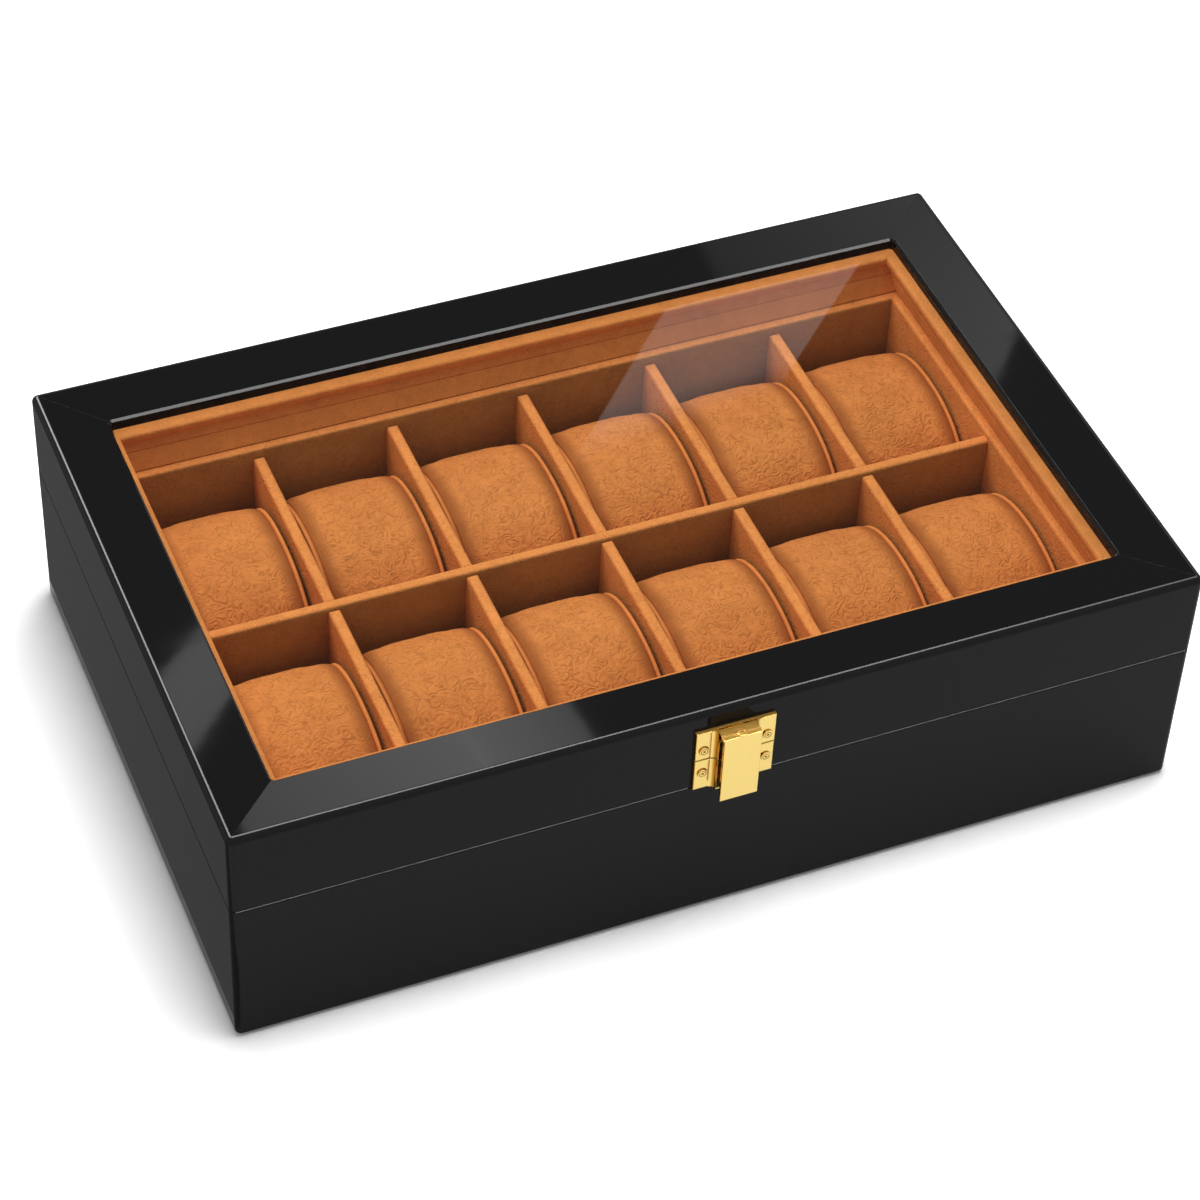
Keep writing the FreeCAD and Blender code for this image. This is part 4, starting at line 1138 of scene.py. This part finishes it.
def make_lamps(settings):
    """One lamp overhead, and one from the back left that lights the tray alone."""
    tray = [NODES[name] for name in LINERS + DIVIDERS + LININGS
            if not name.startswith("lid_") or not name.endswith("_left")]
    tray += [o for o in bpy.context.scene.objects if o.name.startswith(("cushion_", "tray_floor_", "lid_lining_front", "lid_lining_back"))]
    rest = [o for o in bpy.context.scene.objects if o.type == "MESH" and o not in tray]
    key = make_lamp("key_lamp", (0.30, 0.14, 1.68), settings.key_power)
    turn_to(key, rest, None)
    lamp = make_lamp("tray_lamp", (-0.42, 0.56, 1.42), settings.tray_power)
    turn_to(lamp, tray, tray)


def make_card(name, corners, levels, fade, receivers=None, colour=(1, 1, 1)):
    """Card that only reflections see. Levels give its light at each end of U; fade softens its
    four sides; receivers are the pieces that it is turned to."""
    clear_selection()
    bpy.ops.mesh.primitive_plane_add(size=1)
    card = bpy.context.active_object
    card.name = name
    for number, corner in zip((0, 1, 3, 2), corners):
        card.data.vertices[number].co = corner
    material = bpy.data.materials.new(name)
    material.use_nodes = True
    tree = material.node_tree
    tree.nodes.clear()
    out = tree.nodes.new("ShaderNodeOutputMaterial")
    place = tree.nodes.new("ShaderNodeTexCoord")
    split = tree.nodes.new("ShaderNodeSeparateXYZ")
    wire(tree, place.outputs["UV"], split.inputs[0])
    mask = None
    for axis, (low, high) in ((0, fade[:2]), (1, fade[2:])):
        for part in (ramp(tree, split.outputs[axis], 0.0, low) if low else None,
                     ramp(tree, split.outputs[axis], 1 - high, 1.0, 1.0, 0.0) if high else None):
            if part is not None:
                mask = part if mask is None else maths(tree, "MULTIPLY", mask, part)
    level = maths(tree, "MULTIPLY_ADD", split.outputs[0], levels[1] - levels[0], levels[0])
    if mask is not None:
        level = maths(tree, "MULTIPLY", level, mask)
    glow = add_node(tree, "ShaderNodeEmission", {"Color": tuple(colour) + (1.0,)})
    wire(tree, level, glow.inputs["Strength"])
    if receivers is None:
        wire(tree, glow.outputs[0], out.inputs["Surface"])
    else:
        clear = tree.nodes.new("ShaderNodeBsdfTransparent")
        both = tree.nodes.new("ShaderNodeAddShader")
        wire(tree, glow.outputs[0], both.inputs[0])
        wire(tree, clear.outputs[0], both.inputs[1])
        wire(tree, both.outputs[0], out.inputs["Surface"])
        shown = [NODES[node] for node in receivers]
        shown += [o for o in bpy.context.scene.objects
                  if o.name in ("latch_lever_block", "latch_plate_flanked")
                  and "latch_lever" in receivers]
        turn_to(card, shown, None)
    card.data.materials.append(material)
    card.visible_camera = False
    card.visible_diffuse = False
    card.visible_shadow = False
    card.visible_transmission = False


# Middle of what the closed lid mirrors towards the camera
FLAG_DIRECTION = (0.43, 0.98, 1.0)
CARD_HEIGHT = 1.5
# Name, four points on the ceiling (start of U low, end of U low, end high, start high), light at
# both ends, soft share of the sides, and the piece it is turned to
CARDS = [
    ("glass_card", ((0.595, 1.425), (0.815, 1.455), (1.010, 1.640), (0.800, 1.640)), (1.25, 1.25),
     (0.02, 0.02, 0.32, 0), "lid_glass"),
    ("front_rise_card", ((0.24, 1.40), (0.470, 1.40), (0.470, 1.64), (0.24, 1.64)), (4.3, 7.4),
     (0, 0, 0, 0), "lid_frame_front"),
    ("front_fall_card", ((0.470, 1.40), (0.577, 1.40), (0.577, 1.64), (0.470, 1.64)), (7.4, 4.2),
     (0, 0.04, 0, 0), "lid_frame_front"),
    ("left_card", ((0.3802, 1.3505), (0.3778, 1.2431), (0.4591, 1.3333), (0.4564, 1.4239)),
     (6.0, 6.0), (0.06, 0.06, 0, 0), "lid_frame_left"),
    ("right_card", ((0.7344, 1.2678), (0.727, 1.5481), (0.8624, 1.6052), (0.8398, 1.3817)),
     (3.7, 1.8), (0.03, 0, 0, 0), "lid_frame_right"),
    ("back_card", ((0.735, 1.18), (0.99, 1.18), (0.99, 1.36), (0.735, 1.36)), (0.9, 2.7),
     (0.05, 0, 0, 0), "lid_frame_back"),
    ("window_edge_card", ((0.0, -1.46), (1.4, -1.46), (1.4, -1.0), (0.0, -1.0)), (28.0, 28.0),
     (0.1, 0.1, 0.3, 0.3), "lid_frame_back"),
    ("seam_card", ((-0.4, -1.46), (1.8, -1.46), (1.8, -0.6), (-0.4, -0.6)), (65.0, 65.0),
     (0.1, 0.1, 0.3, 0.3), "base_wall_front"),
]


class WATCHBOX_OT_stage(bpy.types.Operator):
    """Sets up the floor, the light and the camera of the photograph"""

    bl_idname = "watch_box.stage"
    bl_label = "Stage"
    bl_options = {"REGISTER", "UNDO"}

    def execute(self, context):
        settings = context.scene.watch_box_stage
        make_floor(settings)
        make_world(settings)
        make_lamps(settings)
        for number, (name, points, levels, fade, receiver) in enumerate(CARDS):
            corners = [(x, y, CARD_HEIGHT + 0.002 * number) for x, y in points]
            make_card(name, corners, levels, fade, [receiver])
        height = CARD_HEIGHT + 0.03
        make_card("latch_card", [(0.0, 0.6, height), (1.3, 0.6, height), (1.3, 2.2, height),
                                 (0.0, 2.2, height)],
                  (0.30, 0.30), (0, 0, 0, 0), BRASS, (1.0, 0.75, 0.35))
        # Painted shade: a dull grey card on the floor beside the box, seen only in reflections,
        # stands in for the shadowed floor.
        left, front = -0.1665, -0.135
        make_card("floor_flag", [(left, front, 0.0006), (left, 0.4, 0.0006),
                                 (left - 0.25, 0.4, 0.0006), (left - 0.25, front, 0.0006)],
                  (settings.flag, settings.flag * 1.5), (0, 0, 0, 0))
        make_camera()
        context.scene.view_settings.view_transform = "Standard"
        return {"FINISHED"}


class WATCHBOX_PT_panel(bpy.types.Panel):
    """Lists the steps in the order in which they run"""

    bl_idname = "WATCHBOX_PT_panel"
    bl_label = "Watch box"
    bl_space_type = "VIEW_3D"
    bl_region_type = "UI"
    bl_category = "Watch box"

    def draw(self, context):
        for kind in STEPS:
            self.layout.operator(kind.bl_idname)
        for name, kind in SETTINGS.items():
            column = self.layout.column(heading=name)
            for prop in kind.__annotations__:
                column.prop(getattr(context.scene, name), prop)


STEPS = (WATCHBOX_OT_finishes, WATCHBOX_OT_cushions, WATCHBOX_OT_floor_pad,
         WATCHBOX_OT_linings, WATCHBOX_OT_latch, WATCHBOX_OT_stage)
SETTINGS = {
    "watch_box_suede": SuedeSettings,
    "watch_box_lacquer": LacquerSettings,
    "watch_box_brass": BrassSettings,
    "watch_box_cushion": CushionSettings,
    "watch_box_stage": StageSettings,
}


def register():
    for kind in SETTINGS.values():
        bpy.utils.register_class(kind)
    for kind in STEPS:
        bpy.utils.register_class(kind)
    bpy.utils.register_class(WATCHBOX_PT_panel)
    for name, kind in SETTINGS.items():
        setattr(bpy.types.Scene, name, PointerProperty(type=kind))


def unregister():
    for name in SETTINGS:
        delattr(bpy.types.Scene, name)
    bpy.utils.unregister_class(WATCHBOX_PT_panel)
    for kind in reversed(STEPS):
        bpy.utils.unregister_class(kind)
    for kind in reversed(list(SETTINGS.values())):
        bpy.utils.unregister_class(kind)


def main():
    register()
    bpy.ops.watch_box.finishes()
    bpy.ops.watch_box.cushions()
    bpy.ops.watch_box.floor_pad()
    bpy.ops.watch_box.linings()
    bpy.ops.watch_box.latch()
    bpy.ops.watch_box.stage()


if __name__ == "__main__":
    main()
